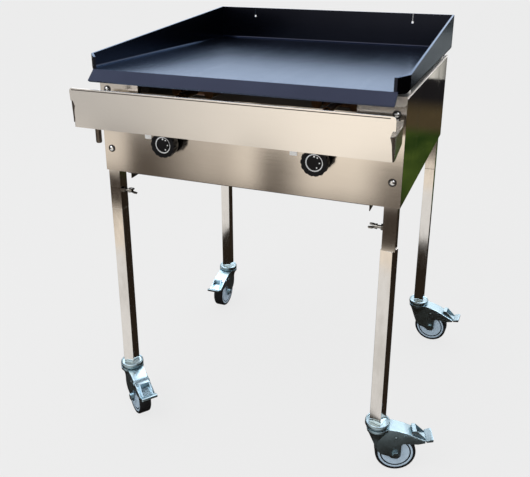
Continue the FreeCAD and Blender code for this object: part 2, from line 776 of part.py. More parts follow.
flange_view = [
    (f"-{front_foot}", TROUGH_FLOOR),
    (f"-{front_foot} + {sheet_t}", TROUGH_FLOOR),
    (f"-{TROUGH_FRONT} + {sheet_t}", TROUGH_RIM),
    (f"-{TROUGH_FRONT}", TROUGH_RIM),
]
rim_round = "dims.trough_rim_corner"
flange = common(
    slab("YZ", flange_view, f"-{BOX_SIDE}", BOX_SIDE),
    slab("XZ", flange_points, f"-{TROUGH_FRONT}", f"-{front_foot} + {sheet_t}", {4: rim_round, 5: rim_round}),
)
hem_low = f"({TROUGH_RIM} - dims.trough_hem)"
hem_view = [
    (f"-{TROUGH_FRONT} + {sheet_t} + {lean} * dims.trough_hem", hem_low),
    (f"-{TROUGH_FRONT} + 2 * {sheet_t} + {lean} * dims.trough_hem", hem_low),
    (f"-{TROUGH_FRONT} + 2 * {sheet_t}", TROUGH_RIM),
    (f"-{TROUGH_FRONT} + {sheet_t}", TROUGH_RIM),
]
hem = slab("YZ", hem_view, f"-{BOX_SIDE} + {rim_round}", f"{BOX_SIDE} - {rim_round}")
wall_back = box(f"-{BOX_SIDE}", BOX_SIDE, f"-{TROUGH_BACK} - {sheet_t}", f"-{TROUGH_BACK}",
                f"{end_back} - {sheet_t}", TROUGH_BACK_TOP)
hook_depth = dim("2 * hook_gap + hanger_sheet")
hook_top = box(f"-{BOX_SIDE}", BOX_SIDE, f"-{TROUGH_BACK}", f"-{TROUGH_BACK} + {hook_depth} + {sheet_t}",
               f"{TROUGH_BACK_TOP} - {sheet_t}", TROUGH_BACK_TOP)
hook_lip = box(f"-{BOX_SIDE}", BOX_SIDE, f"-{TROUGH_BACK} + {hook_depth}",
               f"-{TROUGH_BACK} + {hook_depth} + {sheet_t}",
               f"{TROUGH_BACK_TOP} - dims.hook_reach", f"{TROUGH_BACK_TOP} - {sheet_t}")
trough = fuse(cut(pan_outer, pan_inner), flange, hem, wall_back, hook_top, hook_lip)
finish(trough, "grease_trough")

# Trough hangers: two brackets on the front panel whose up-turned tongues carry the trough.
hangers = []
for sign in SIDES.values():
    left = f"({sign} * dims.hanger_offset - dims.hanger_width / 2)"
    right = f"({left} + dims.hanger_width)"
    tongue_top = f"({TROUGH_BACK_TOP} - {sheet_t} - dims.face_gap)"
    foot = f"({tongue_top} - dims.hanger_rise)"
    tongue_front = f"(-{TROUGH_BACK} + dims.hook_gap)"
    tongue = box(left, right, tongue_front, f"{tongue_front} + dims.hanger_sheet", foot, tongue_top)
    shelf = box(left, right, tongue_front, f"-{BOX_FRONT}", foot, f"{foot} + dims.hanger_sheet")
    plate = box(left, right, f"-{BOX_FRONT} - dims.hanger_sheet", f"-{BOX_FRONT}", f"{foot} - dims.hanger_foot", foot)
    hangers.append(fuse(tongue, shelf, plate))
finish(group(*hangers), "trough_hangers")

# Marker plates: a small plain tag up and left of each knob.
tags = []
for sign in SIDES.values():
    middle = f"({sign} * {KNOB_X} - dims.tag_shift)"
    low = f"({KNOB_Z} + dims.tag_sheet)"
    points = [
        (f"{middle} - dims.tag_width / 2", low),
        (f"{middle} + dims.tag_width / 2", low),
        (f"{middle} + dims.tag_width / 2", f"{low} + dims.tag_height"),
        (f"{middle} - dims.tag_width / 2", f"{low} + dims.tag_height"),
    ]
    rounds = {i: "dims.tag_corner" for i in range(4)}
    tags.append(slab("XZ", points, f"-{BOX_FRONT} - dims.tag_sheet", f"-{BOX_FRONT}", rounds))
finish(group(*tags), "marker_plates")

# Panel screws: each holds the front panel to a leg socket through a washer.
screws = []
for sign in SIDES.values():
    for rise in ("dims.screw_low", "dims.screw_high"):
        x = f"({sign} * {LEG_X})"
        z = f"({BOX_BOTTOM} + {rise})"
        washer_front = f"(-{BOX_FRONT} - dims.washer_sheet)"
        washer = rod(ALONG_Y, "dims.washer_radius", "dims.washer_sheet", x, washer_front, z)
        head = cone(ALONG_Y, "dims.screw_crown_radius", "dims.screw_head_radius", "dims.screw_head_height",
                    x, f"{washer_front} - dims.screw_head_height", z)
        shank = rod(ALONG_Y, "dims.screw_shank_radius", "dims.screw_length", x, f"-{BOX_FRONT}", z)
        screws.append(fuse(washer, head, shank))
finish(group(*screws), "panel_screws")


def square_tube(x, y, low, high):
    """Square tube with its walls named in the sheet, centred on a place."""
    outside = "dims.tube_side / 2"
    inside = "(dims.tube_side / 2 - dims.tube_wall)"
    solid = box(f"{x} - {outside}", f"{x} + {outside}", f"{y} - {outside}", f"{y} + {outside}", low, high)
    hollow = box(f"{x} - {inside}", f"{x} + {inside}", f"{y} - {inside}", f"{y} + {inside}",
                 f"{low} - dims.tube_wall", f"{high} + dims.tube_wall")
    return cut(solid, hollow)


def hexagon(direction, radius, height, x="0", y="0", z="0"):
    item = doc.addObject("Part::Prism", "hexagon")
    item.Polygon = 6
    item.Placement.Rotation = direction
    bind(item, Circumradius=radius, Height=height)
    return place(item, x, y, z)


BOLT_Z = f"({LEG_JOINT} + dims.bolt_rise)"
INWARD = {
    -1: FreeCAD.Rotation(FreeCAD.Vector(0, 1, 0), 90),
    1: FreeCAD.Rotation(FreeCAD.Vector(0, 1, 0), -90),
}
nuts = []
for end, side in CORNERS:
    name = f"{end}_{side}"
    sx = SIDES[side]
    sy = ENDS[end]
    x = f"({sx} * {LEG_X})"
    y = f"({sy} * {LEG_Y})"

    # Leg socket: the upper tube, fixed in the corner of the box.
    socket = square_tube(x, y, LEG_JOINT, f"{RAIL_TOP} - dims.rail_sheet")
    reach = f"({LEG_X} - dims.tube_side / 2)"
    drill = rod(ALONG_X, "dims.bolt_radius + dims.run_gap", "4 * dims.tube_wall",
                f"{sx} * {reach} - 2 * dims.tube_wall", y, BOLT_Z)
    drills = [drill]
    if end == "front":
        for rise in ("dims.screw_low", "dims.screw_high"):
            drills.append(rod(ALONG_Y, "dims.screw_shank_radius + dims.run_gap", "3 * dims.tube_wall",
                              x, f"-{FRONT_INNER} - dims.tube_wall", f"{BOX_BOTTOM} + {rise}"))
    finish(cut(socket, *drills), f"leg_socket_{name}")

    # Weld nut on the socket's inward face.
    face = f"({sx} * {reach})"
    nut = hexagon(INWARD[sx], "dims.nut_radius", "dims.nut_height", face, y, BOLT_Z)
    bore = rod(INWARD[sx], "dims.bolt_radius + dims.run_gap", "3 * dims.nut_height",
               f"{sx} * ({reach} + dims.nut_height)", y, BOLT_Z)
    nuts.append(cut(nut, bore))

    # Wing bolt: modelled along its own axis from the tip, then laid inwards.
    length = dim("tube_side / 2 + bolt_project - insert_radius - face_gap")
    hub_low = f"({length} - dims.wing_length)"
    hub_top = f"({hub_low} + dims.wing_hub_length)"
    shank = rod(ALONG_Z, "dims.bolt_radius", hub_top)
    hub = cone(ALONG_Z, "dims.wing_hub_radius", "dims.wing_hub_end_radius", "dims.wing_hub_length", z=hub_low)
    tip = "dims.wing_span / 2"
    wing_points = [
        ("-dims.bolt_radius", hub_low),
        ("dims.bolt_radius", hub_low),
        (tip, f"{hub_low} + dims.wing_length / 2"),
        (tip, length),
        ("dims.wing_notch", length),
        ("dims.bolt_radius", hub_top),
        ("-dims.bolt_radius", hub_top),
        ("-dims.wing_notch", length),
        (f"-{tip}", length),
        (f"-{tip}", f"{hub_low} + dims.wing_length / 2"),
    ]
    rounds = {3: "dims.wing_sheet", 8: "dims.wing_sheet", 2: "dims.wing_sheet", 9: "dims.wing_sheet"}
    wings = slab("XZ", wing_points, "-dims.wing_sheet / 2", "dims.wing_sheet / 2", rounds)
    core = rod(ALONG_Z, "dims.bolt_radius", "dims.wing_length / 4", z=hub_low)
    bolt = fuse(shank, hub, turn(fuse(wings, core), (0, 0, 1), f"dims.wing_angle_{name}"))
    bolt.Placement.Rotation = INWARD[sx]
    place(bolt, f"{sx} * ({LEG_X} - dims.insert_radius - dims.face_gap)", y, BOLT_Z)
    finish(bolt, f"wing_bolt_{name}")

    # Lower leg: a tube with a round insert that slides in the socket.
    tube = square_tube("0", "0", "dims.caster_height", LEG_JOINT)
    insert = rod(ALONG_Z, "dims.insert_radius", "2 * dims.insert_length", z=f"{LEG_JOINT} - dims.insert_length")
    leg = place(fuse(tube, insert), x, y)
    if name == "front_right":
        turn(leg, (0, 0, -1), "dims.leg_twist_angle")
    finish(leg, f"lower_leg_{name}")
finish(group(*nuts), "weld_nuts")

# Gas manifold: a pipe behind the front panel that leaves to the left and turns down.
DOWN_BEND = FreeCAD.Rotation(FreeCAD.Vector(1, 0, 0), 90).multiply(FreeCAD.Rotation(FreeCAD.Vector(0, 0, 1), 90))


def gas_path(radius, right_end, low):
    """The pipe's run, bend and drop as one solid of a given radius."""
    bend_x = f"({INLET_X} + dims.pipe_bend)"
    run = rod(ALONG_X, radius, f"{right_end} - {bend_x}", bend_x, PIPE_Y, PIPE_Z)
    corner = doc.addObject("Part::Torus", "bend")
    corner.Placement.Rotation = DOWN_BEND
    corner.Angle3 = 90
    bind(corner, Radius1="dims.pipe_bend", Radius2=radius)
    place(corner, bend_x, PIPE_Y, f"{PIPE_Z} - dims.pipe_bend")
    drop = rod(ALONG_Z, radius, f"{PIPE_Z} - dims.pipe_bend - {low}", INLET_X, PIPE_Y, low)
    return fuse(run, corner, drop)


inlet_low = f"({PIPE_Z} - dims.inlet_drop + dims.pipe_radius)"
right_end = f"({KNOB_X} + dims.pipe_end_reach)"
pipe = gas_path("dims.pipe_radius", right_end, inlet_low)
nose = ball("dims.pipe_radius", INLET_X, PIPE_Y, inlet_low)
pipe_bore = gas_path("dims.pipe_radius - dims.pipe_wall", f"({right_end} - 2 * dims.pipe_wall)",
                     f"({PIPE_Z} - dims.inlet_drop - dims.pipe_wall)")
finish(cut(fuse(pipe, nose), pipe_bore), "gas_manifold")

# Gas valves: each clamps the manifold, holds a stem in front and feeds a burner behind.
BURNER_FRONT = dim("box_depth / 2 - burner_set_back")
valves = []
for sign in SIDES.values():
    x = f"({sign} * {KNOB_X})"
    back = f"({PIPE_Y} + dims.valve_back)"
    body = box(f"{x} - dims.valve_width / 2", f"{x} + dims.valve_width / 2", f"-{FRONT_INNER}", back,
               f"{KNOB_Z} - dims.valve_base", f"{PIPE_Z} + dims.valve_base")
    riser_y = f"((-{FRONT_INNER} + {back}) / 2)"
    riser = rod(ALONG_Z, "dims.nozzle_radius", f"{BURNER_Z} - {PIPE_Z}", x, riser_y, PIPE_Z)
    knee = ball("dims.nozzle_radius", x, riser_y, BURNER_Z)
    nozzle = rod(ALONG_Y, "dims.nozzle_radius", f"-{BURNER_FRONT} + dims.nozzle_entry - {riser_y}",
                 x, riser_y, BURNER_Z)
    pipe_hole = rod(ALONG_X, "dims.pipe_radius + dims.run_gap", "2 * dims.valve_width",
                    f"{x} - dims.valve_width", PIPE_Y, PIPE_Z)
    stem_hole = rod(ALONG_Y, "dims.stem_radius + dims.run_gap", "2 * dims.stem_entry", x,
                    f"-{FRONT_INNER} - dims.stem_entry + dims.face_gap", KNOB_Z)
    valves.append(cut(fuse(body, riser, knee, nozzle), pipe_hole, stem_hole))
finish(group(*valves), "gas_valves")

# Burners: a feed tube and a cross tube that joins two long tubes with closed ends.
CROSS_Y = dim("box_depth / 2 - burner_cross_back")
BURNER_END = dim("box_depth / 2 - burner_end_gap")
tube_start = f"(-{CROSS_Y} - 2 * dims.burner_radius)"
long = f"({BURNER_END} - {tube_start})"
feed_length = f"({BURNER_FRONT} - {CROSS_Y})"
gauge = "dims.burner_wall"
for side, sign in SIDES.items():
    x = f"({sign} * {KNOB_X})"
    cross_start = f"{x} - dims.burner_spread"
    tubes = [
        rod(ALONG_Y, "dims.burner_feed_radius", feed_length, x, f"-{BURNER_FRONT}", BURNER_Z),
        rod(ALONG_X, "dims.burner_cross_radius", "2 * dims.burner_spread", cross_start, f"-{CROSS_Y}", BURNER_Z),
    ]
    bores = [
        rod(ALONG_Y, f"dims.burner_feed_radius - {gauge}", f"{feed_length} + {gauge}", x,
            f"-{BURNER_FRONT} - {gauge}", BURNER_Z),
        rod(ALONG_X, f"dims.burner_cross_radius - {gauge}", "2 * dims.burner_spread", cross_start,
            f"-{CROSS_Y}", BURNER_Z),
    ]
    for leg in SIDES.values():
        leg_x = f"({x} + {leg} * dims.burner_spread)"
        tubes.append(rod(ALONG_Y, "dims.burner_radius", long, leg_x, tube_start, BURNER_Z))
        bores.append(rod(ALONG_Y, f"dims.burner_radius - {gauge}", f"{long} - 2 * {gauge}", leg_x,
                         f"{tube_start} + {gauge}", BURNER_Z))
    finish(cut(fuse(*tubes), *bores), f"burner_{side}")

# Burner rails: two angles across the box that the burner tubes lie on.
rails = []
for sign in ENDS.values():
    y = f"({sign} * dims.burner_rail_offset)"
    top = f"({BURNER_Z} - dims.burner_radius)"
    floor = box(f"-{WEB_OUT}", WEB_OUT, y, f"{y} + dims.burner_rail_leg", f"{top} - dims.burner_rail_sheet", top)
    web = box(f"-{WEB_OUT}", WEB_OUT, y, f"{y} + dims.burner_rail_sheet",
              f"{top} - dims.burner_rail_leg", f"{top} - dims.burner_rail_sheet")
    rails.append(fuse(floor, web))
finish(group(*rails), "burner_rails")

# Valve stems and control knobs: the knob slides on the stem and turns it.
for side, sign in SIDES.items():
    x = f"({sign} * {KNOB_X})"
    stem_inner = f"(-{FRONT_INNER} + dims.stem_entry - dims.face_gap)"
    face = dim("box_depth / 2 + knob_face")
    play = dim("knob_recess_depth + knob_wall + knob_travel + face_gap")
    stem = rod(ALONG_Y, "dims.stem_radius", f"{stem_inner} + {face} - {play}", x, f"-({face} - {play})", KNOB_Z)
    finish(stem, f"valve_stem_{side}")

    recess_floor = dim("knob_depth - knob_recess_depth")
    bore_top = f"({recess_floor} - dims.knob_wall)"
    bore = dim("stem_radius + run_gap")
    blank = lathe([
        (bore, "0"),
        ("dims.knob_back_radius", "0"),
        ("dims.knob_radius", "dims.knob_flare_height"),
        ("dims.knob_face_radius", "dims.knob_depth"),
        ("dims.knob_recess_radius", "dims.knob_depth"),
        ("dims.knob_recess_radius", recess_floor),
        ("0", recess_floor),
        ("0", bore_top),
        (bore, bore_top),
    ])
    grooves = []
    for k in range(12):
        angle = 30 * k + 15
        grooves.append(rod(ALONG_Z, "dims.knob_groove_radius", "3 * dims.knob_depth",
                           f"dims.knob_groove_centre * cos({angle})", f"dims.knob_groove_centre * sin({angle})",
                           "-dims.knob_depth"))
    knob = cut(blank, *grooves)
    knob.Placement.Rotation = FreeCAD.Rotation(FreeCAD.Vector(1, 0, 0), 90)
    place(knob, x, f"-({face} - dims.knob_depth)", KNOB_Z)
    finish(knob, f"control_knob_{side}")

# Casters: each is modelled with its swivel at the origin and the wheel behind it along +X,
# then set under its leg and turned to its own trail direction.
FORK_TOP = dim("caster_height - head_shoulder - head_ring")
AXLE_X = "dims.wheel_trail"
AXLE_Z = "dims.wheel_radius"
PIN_X = "dims.pedal_pivot_reach"
PIN_Z = "dims.pedal_pivot_height"
CHEEK_IN = dim("fork_half - fork_sheet")
TREAD_Z = "dims.tread_height"


def bearing_head():
    """Fixed upper race with the king pin below it and a spigot for the leg tube above it."""
    pin_top = f"({FORK_TOP} - dims.fork_sheet - dims.face_gap)"
    pin_low = f"({pin_top} - dims.kingpin_head_height)"
    shoulder = dim("caster_height - head_shoulder")
    turned = lathe([
        ("0", pin_low),
        ("dims.kingpin_head_radius", pin_low),
        ("dims.kingpin_head_radius", pin_top),
        ("dims.kingpin_radius", pin_top),
        ("dims.kingpin_radius", f"{FORK_TOP} + dims.face_gap"),
        ("dims.head_radius", f"{FORK_TOP} + dims.face_gap"),
        ("dims.head_radius", shoulder),
        ("dims.head_flat_radius", "dims.caster_height"),
        ("dims.spigot_radius", "dims.caster_height"),
        ("dims.spigot_radius", "dims.caster_height + dims.spigot_length"),
        ("0", "dims.caster_height + dims.spigot_length"),
    ])
    return fuse(turned, rod(ALONG_Z, "dims.kingpin_radius", "dims.spigot_length", z=FORK_TOP))


def fork():
    """Pressed yoke: a round top on two cheeks that carry the axle, rivets and pedal pin."""
    ring_low = f"({FORK_TOP} - dims.fork_ring)"
    boss = "dims.fork_boss"
    profile = [
        ("-dims.head_radius * 0.9", FORK_TOP),
        ("-dims.head_radius * 0.82", ring_low),
        ("-dims.head_radius * 0.46", f"{ring_low} - 2.4 * dims.fork_ring"),
        ("0", f"{AXLE_Z} + 0.8 * {boss}"),
        (f"{AXLE_X} - 3 * {boss}", AXLE_Z),
        (f"{AXLE_X} - 1.25 * {boss}", f"{AXLE_Z} - 0.55 * {boss}"),
        (f"{AXLE_X} - 0.7 * {boss}", f"{AXLE_Z} - {boss}"),
        (f"{AXLE_X} + {boss}", f"{AXLE_Z} - {boss}"),
        (f"{AXLE_X} + {boss}", f"{PIN_Z} - dims.fork_throat"),
        (f"{PIN_X} + dims.fork_tip_reach * 0.65", f"{PIN_Z} - dims.fork_throat"),
        (f"{PIN_X} + dims.fork_tip_reach", f"{PIN_Z} - dims.fork_tip_low"),
        (f"{PIN_X} + dims.fork_tip_reach", f"{PIN_Z} - dims.fork_tip_top"),
        (f"{PIN_X} + dims.fork_brow_reach", f"{PIN_Z} + dims.fork_brow_rise"),
        (PIN_X, f"{PIN_Z} + dims.fork_crown"),
        ("dims.fork_shoulder_reach", f"{FORK_TOP} - dims.fork_shoulder_drop"),
        ("dims.head_radius * 0.9", FORK_TOP),
    ]
    rounds = {7: f"{boss} * 0.9", 8: f"{boss} * 0.6", 6: f"{boss} * 0.5"}
    past = "dims.tread_end"
    cone_low = f"({ring_low} - 3 * dims.fork_ring)"
    outside = fuse(
        box("-dims.head_radius", past, "-dims.fork_half", "dims.fork_half", "0", FORK_TOP),
        cone(ALONG_Z, "dims.fork_half", "dims.head_radius", "3 * dims.fork_ring", z=cone_low),
        rod(ALONG_Z, "dims.head_radius", "dims.fork_ring", z=ring_low),
    )
    ring = rod(ALONG_Z, "dims.head_radius", "dims.fork_ring", z=ring_low)
    body = fuse(common(slab("XZ", profile, "-dims.head_radius", "dims.head_radius", rounds), outside), ring)
    under = f"({FORK_TOP} - dims.fork_sheet)"
    open_from = f"({PIN_X} + dims.fork_mouth)"
    fall = dim("( fork_crown - fork_brow_rise ) / fork_brow_reach")
    hollow_points = [
        ("-2 * dims.head_radius", "-dims.fork_ring"),
        (past, "-dims.fork_ring"),
        (past, f"{FORK_TOP} + dims.fork_ring"),
        (open_from, f"{FORK_TOP} + dims.fork_ring"),
        (open_from, f"{PIN_Z} + dims.fork_crown - {fall} * dims.fork_mouth - dims.fork_sheet"),
        (PIN_X, f"{PIN_Z} + dims.fork_crown - dims.fork_sheet"),
        ("dims.fork_shoulder_reach", f"{under} - dims.fork_shoulder_drop"),
        ("dims.head_radius * 0.9", under),
        ("-2 * dims.head_radius", under),
    ]
    inside = fuse(
        box("-2 * dims.head_radius", past, f"-{CHEEK_IN}", CHEEK_IN,
            "-dims.fork_ring", f"{FORK_TOP} + dims.fork_ring"),
        cone(ALONG_Z, CHEEK_IN, "dims.head_radius - dims.fork_sheet", "3 * dims.fork_ring", z=cone_low),
        rod(ALONG_Z, "dims.head_radius - dims.fork_sheet", "dims.fork_ring", z=ring_low),
    )
    hollow = common(slab("XZ", hollow_points, "-dims.head_radius", "dims.head_radius"), inside)
    ring_inside = rod(ALONG_Z, "dims.head_radius - dims.fork_sheet", "dims.fork_ring - dims.fork_sheet",
                      z=ring_low)
    width = "4 * dims.fork_half"
    start = "-2 * dims.fork_half"
    holes = [
        rod(ALONG_Z, "dims.kingpin_radius + dims.run_gap", "3 * dims.fork_sheet", z=f"{under} - dims.fork_sheet"),
        rod(ALONG_Y, "dims.axle_radius + dims.run_gap", width, AXLE_X, start, AXLE_Z),
        rod(ALONG_Y, "dims.pedal_pin_radius + dims.run_gap", width, PIN_X, start, PIN_Z),
    ]
    rivets = []
    for low in ("-dims.fork_half - dims.rivet_height", "dims.fork_half"):
        rivets.append(rod(ALONG_Y, "dims.rivet_radius", "dims.rivet_height", AXLE_X, low,
                          f"{PIN_Z} + dims.rivet_height"))
    return cut(fuse(cut(body, hollow, ring_inside), *rivets), *holes)


def wheel_hub():
    """Moulded disc with a thick rim, a ring groove and a hub that runs on the axle."""
    hub_half = f"({CHEEK_IN} - dims.hub_gap)"
    rim_half = dim("tyre_width / 2 - disc_set")
    groove_half = f"({rim_half} - dims.disc_groove)"
    groove_out = dim("disc_groove_radius + disc_groove / 2")
    groove_in = dim("disc_groove_radius - disc_groove / 2")
    upper = [
        ("dims.hub_radius", hub_half),
        ("dims.hub_radius", rim_half),
        (groove_in, rim_half),
        (groove_in, groove_half),
        (groove_out, groove_half),
        (groove_out, rim_half),
        ("dims.disc_radius", rim_half),
    ]
    lower = [(r, f"-{z}") for r, z in reversed(upper)]
    disc = lathe([("0", hub_half)] + upper + lower + [("0", f"-{hub_half}")])
    disc.Placement.Rotation = ALONG_Y
    place(disc, AXLE_X, "0", AXLE_Z)
    bore = rod(ALONG_Y, "dims.axle_radius + dims.run_gap", "4 * dims.fork_half", AXLE_X,
               "-2 * dims.fork_half", AXLE_Z)
    return cut(disc, bore)


def tyre():
    """Rubber band on the rim with rounded shoulders."""
    half = "dims.tyre_width / 2"
    shoulder = "dims.tyre_shoulder"
    band = lathe([
        ("0", f"-{half}"),
        (f"dims.wheel_radius - {shoulder}", f"-{half}"),
        (f"dims.wheel_radius - {shoulder} * 0.3", f"-{half} + {shoulder} * 0.3"),
        ("dims.wheel_radius", f"-{half} + {shoulder}"),
        ("dims.wheel_radius", f"{half} - {shoulder}"),
        (f"dims.wheel_radius - {shoulder} * 0.3", f"{half} - {shoulder} * 0.3"),
        (f"dims.wheel_radius - {shoulder}", half),
        ("0", half),
    ])
    band.Placement.Rotation = ALONG_Y
    place(band, AXLE_X, "0", AXLE_Z)
    seat = rod(ALONG_Y, "dims.disc_radius + dims.run_gap", "2 * dims.tyre_width", AXLE_X,
               "-dims.tyre_width", AXLE_Z)
    return cut(band, seat)


def axle_bolt():
    """Bolt through both cheeks with a hexagon head and nut."""
    outside = f"(dims.fork_half + dims.axle_head_height)"
    shank = rod(ALONG_Y, "dims.axle_radius", f"2 * {outside}", AXLE_X, f"-{outside}", AXLE_Z)
    head = hexagon(ALONG_Y, "dims.axle_head_radius", "dims.axle_head_height", AXLE_X, "dims.fork_half", AXLE_Z)
    nut = hexagon(ALONG_Y, "dims.axle_head_radius", "dims.axle_head_height", AXLE_X, f"-{outside}", AXLE_Z)
    return fuse(shank, head, nut)


def brake_pedal():
    """Folded lever between the cheeks: pivot ears, a raised heel, a channel and a wide tread."""
    ear = "dims.pedal_ear_radius"
    gauge = "dims.pedal_sheet"
    heel_low = f"({PIN_Z} + dims.pedal_floor_drop / 2)"
    floor_in = f"({PIN_Z} - dims.pedal_floor_drop / 2)"
    out = dim("pedal_width / 2")
    into = dim("pedal_width / 2 - pedal_ear_sheet")
    ear_points = [
        (f"{PIN_X} - {ear}", f"{PIN_Z} - {ear} / 2"),
        (f"{PIN_X}", f"{PIN_Z} - {ear}"),
        ("dims.tread_start", f"{TREAD_Z} - dims.tread_thickness"),
        ("dims.tread_start", f"{TREAD_Z} - {gauge} / 2"),
        ("dims.heel_start", heel_low),
        (f"{PIN_X} - {ear}", f"{PIN_Z} + {ear} * 0.7"),
    ]
    ears = [slab("XZ", ear_points, f"-{out}", f"-{into}"), slab("XZ", ear_points, into, out)]
    floor_points = [
        ("dims.heel_start", f"{heel_low} - {gauge}"),
        ("dims.heel_end", f"{floor_in} - {gauge}"),
        ("dims.tread_start", f"{TREAD_Z} - {gauge} * 1.5"),
        ("dims.tread_start", f"{TREAD_Z} - {gauge} / 2"),
        ("dims.heel_end", floor_in),
        ("dims.heel_start", heel_low),
    ]
    floor = slab("XZ", floor_points, f"-{out}", out)
    half = "dims.heel_width / 2"
    flange_points = [
        ("dims.heel_end - dims.pedal_sheet", floor_in),
        ("dims.tread_start", f"{TREAD_Z} - {gauge}"),
        ("dims.tread_start", TREAD_Z),
        ("dims.heel_end", "dims.heel_height"),
        ("dims.heel_end - dims.pedal_sheet", "dims.heel_height"),
    ]
    flanges = [
        slab("XZ", flange_points, f"-{half} - {gauge}", f"-{half}"),
        slab("XZ", flange_points, half, f"{half} + {gauge}"),
    ]
    heel = cut(
        box("dims.heel_start", "dims.heel_end", f"-{half} - {gauge}", f"{half} + {gauge}",
            f"{heel_low} - {gauge}", "dims.heel_height"),
        box(f"dims.heel_start + {gauge}", f"dims.heel_end - {gauge}", f"-{half}", half,
            f"{heel_low} - 2 * {gauge}", f"dims.heel_height - {gauge}"),
    )
    thick = "dims.tread_thickness"
    tread_view = [
        ("dims.tread_start", f"{TREAD_Z} - {thick}"),
        ("dims.tread_end", f"{TREAD_Z} - {thick} * 0.4"),
        ("dims.tread_end", f"{TREAD_Z} + dims.tread_tilt"),
        (f"dims.tread_end - {thick}", f"{TREAD_Z} + dims.tread_tilt"),
        ("dims.tread_start", TREAD_Z),
    ]
    tread_half = "dims.tread_width / 2"
    tread_plan = [
        ("dims.tread_start", f"-{tread_half}"),
        ("dims.tread_end", f"-{tread_half}"),
        ("dims.tread_end", tread_half),
        ("dims.tread_start", tread_half),
    ]
    tread = common(
        slab("XZ", tread_view, f"-{tread_half}", tread_half),
        slab("XY", tread_plan, "0", "dims.heel_height", {1: gauge, 2: gauge}),
    )
    head_low = dim("fork_half + face_gap")
    head_out = f"({head_low} + dims.pedal_pin_head_height)"
    pin = rod(ALONG_Y, "dims.pedal_pin_radius", f"2 * {head_out}", PIN_X, f"-{head_out}", PIN_Z)
    heads = [
        rod(ALONG_Y, "dims.pedal_pin_head_radius", "dims.pedal_pin_head_height", PIN_X, head_low, PIN_Z),
        rod(ALONG_Y, "dims.pedal_pin_head_radius", "dims.pedal_pin_head_height", PIN_X, f"-{head_out}", PIN_Z),
    ]
    return fuse(floor, heel, tread, pin, *ears, *flanges, *heads)


CASTER_PIECES = {
    "caster_head": bearing_head,
    "caster_fork": fork,
    "wheel_hub": wheel_hub,
    "wheel_tyre": tyre,
    "axle_bolt": axle_bolt,
    "brake_pedal": brake_pedal,
}
for end, side in CORNERS:
    for kind, make in CASTER_PIECES.items():
        item = turn(make(), (0, 0, 1), f"dims.swivel_angle_{end}_{side}")
        place(item, f"{SIDES[side]} * {LEG_X}", f"{ENDS[end]} * {LEG_Y}")
        finish(item, f"{kind}_{end}_{side}")

doc.recompute()
faults = [item.Label for item in doc.Objects if "Invalid" in item.State or "Error" in item.State]
for item in pieces:
    shape = item.Shape
    if shape.isNull() or not shape.isValid() or not shape.Solids:
        faults.append(item.Label)
if faults:
    raise RuntimeError("these did not build: " + ", ".join(faults))
os.makedirs("parts", exist_ok=True)
for item in pieces:
    item.Shape.exportStep(f"parts/{item.Label}.step")
print(len(pieces), "sub-parts written")
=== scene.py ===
import json
import math

import bpy
from mathutils import Matrix, Vector

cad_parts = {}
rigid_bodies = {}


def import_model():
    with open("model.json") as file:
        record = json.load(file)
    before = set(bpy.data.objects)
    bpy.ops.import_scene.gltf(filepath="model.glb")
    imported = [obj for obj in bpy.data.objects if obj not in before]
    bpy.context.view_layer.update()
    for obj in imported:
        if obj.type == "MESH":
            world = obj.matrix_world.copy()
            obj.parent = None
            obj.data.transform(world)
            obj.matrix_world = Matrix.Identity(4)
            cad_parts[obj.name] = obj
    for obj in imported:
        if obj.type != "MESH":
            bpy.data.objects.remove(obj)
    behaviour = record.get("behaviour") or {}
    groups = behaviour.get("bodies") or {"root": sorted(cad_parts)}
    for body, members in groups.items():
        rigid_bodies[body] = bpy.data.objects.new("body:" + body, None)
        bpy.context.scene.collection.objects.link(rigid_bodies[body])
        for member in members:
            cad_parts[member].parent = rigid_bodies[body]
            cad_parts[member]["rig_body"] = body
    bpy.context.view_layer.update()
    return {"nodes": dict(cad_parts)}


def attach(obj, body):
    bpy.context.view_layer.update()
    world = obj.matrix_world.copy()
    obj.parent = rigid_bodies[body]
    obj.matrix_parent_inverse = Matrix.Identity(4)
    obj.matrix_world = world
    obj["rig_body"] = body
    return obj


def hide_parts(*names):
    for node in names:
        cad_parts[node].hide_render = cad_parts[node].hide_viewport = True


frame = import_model()
scene = bpy.context.scene
bpy.ops.object.select_all(action="DESELECT")

# Camera: the photographer stands in front and to the right, a little above the plate.
# The picture is a cut from a taller one, so the lens is shifted as far as that cut needs.
CAMERA_PLACE = (0.5731, -1.6204, 1.1964)
CAMERA_TURN, CAMERA_TILT, CAMERA_ROLL = 20.04, 18.571, 0.595
CAMERA_LENS = 43.707
CAMERA_SHIFT = (-0.0358, -0.1179)
stance = (
    Matrix.Rotation(math.radians(CAMERA_TURN), 3, "Z")
    @ Matrix.Rotation(math.radians(90 - CAMERA_TILT), 3, "X")
    @ Matrix.Rotation(math.radians(CAMERA_ROLL), 3, "Z")
)
bpy.ops.object.camera_add(location=CAMERA_PLACE, rotation=stance.to_euler())
camera = bpy.context.object
camera.data.lens = CAMERA_LENS
camera.data.shift_x, camera.data.shift_y = CAMERA_SHIFT
scene.camera = camera
scene.view_settings.view_transform = "Standard"

# Studio: a pale floor that runs to the horizon under an even pale sky, and one soft lamp.
# Camera and mirrors see floor and sky alike; the floor still takes the part's soft shadow.
FLOOR_WIDTH = 160
PALE = (0.85, 0.85, 0.85)
FLOOR_GLOW = 0.90
SKY_LIGHT = (0.86, 0.86, 0.86)
LAMP_PLACE = (-1.2, -2.4, 3.6)
LAMP_AIM = (0, 0, 0.5)
LAMP_WIDTH = 2.6
LAMP_POWER = 34


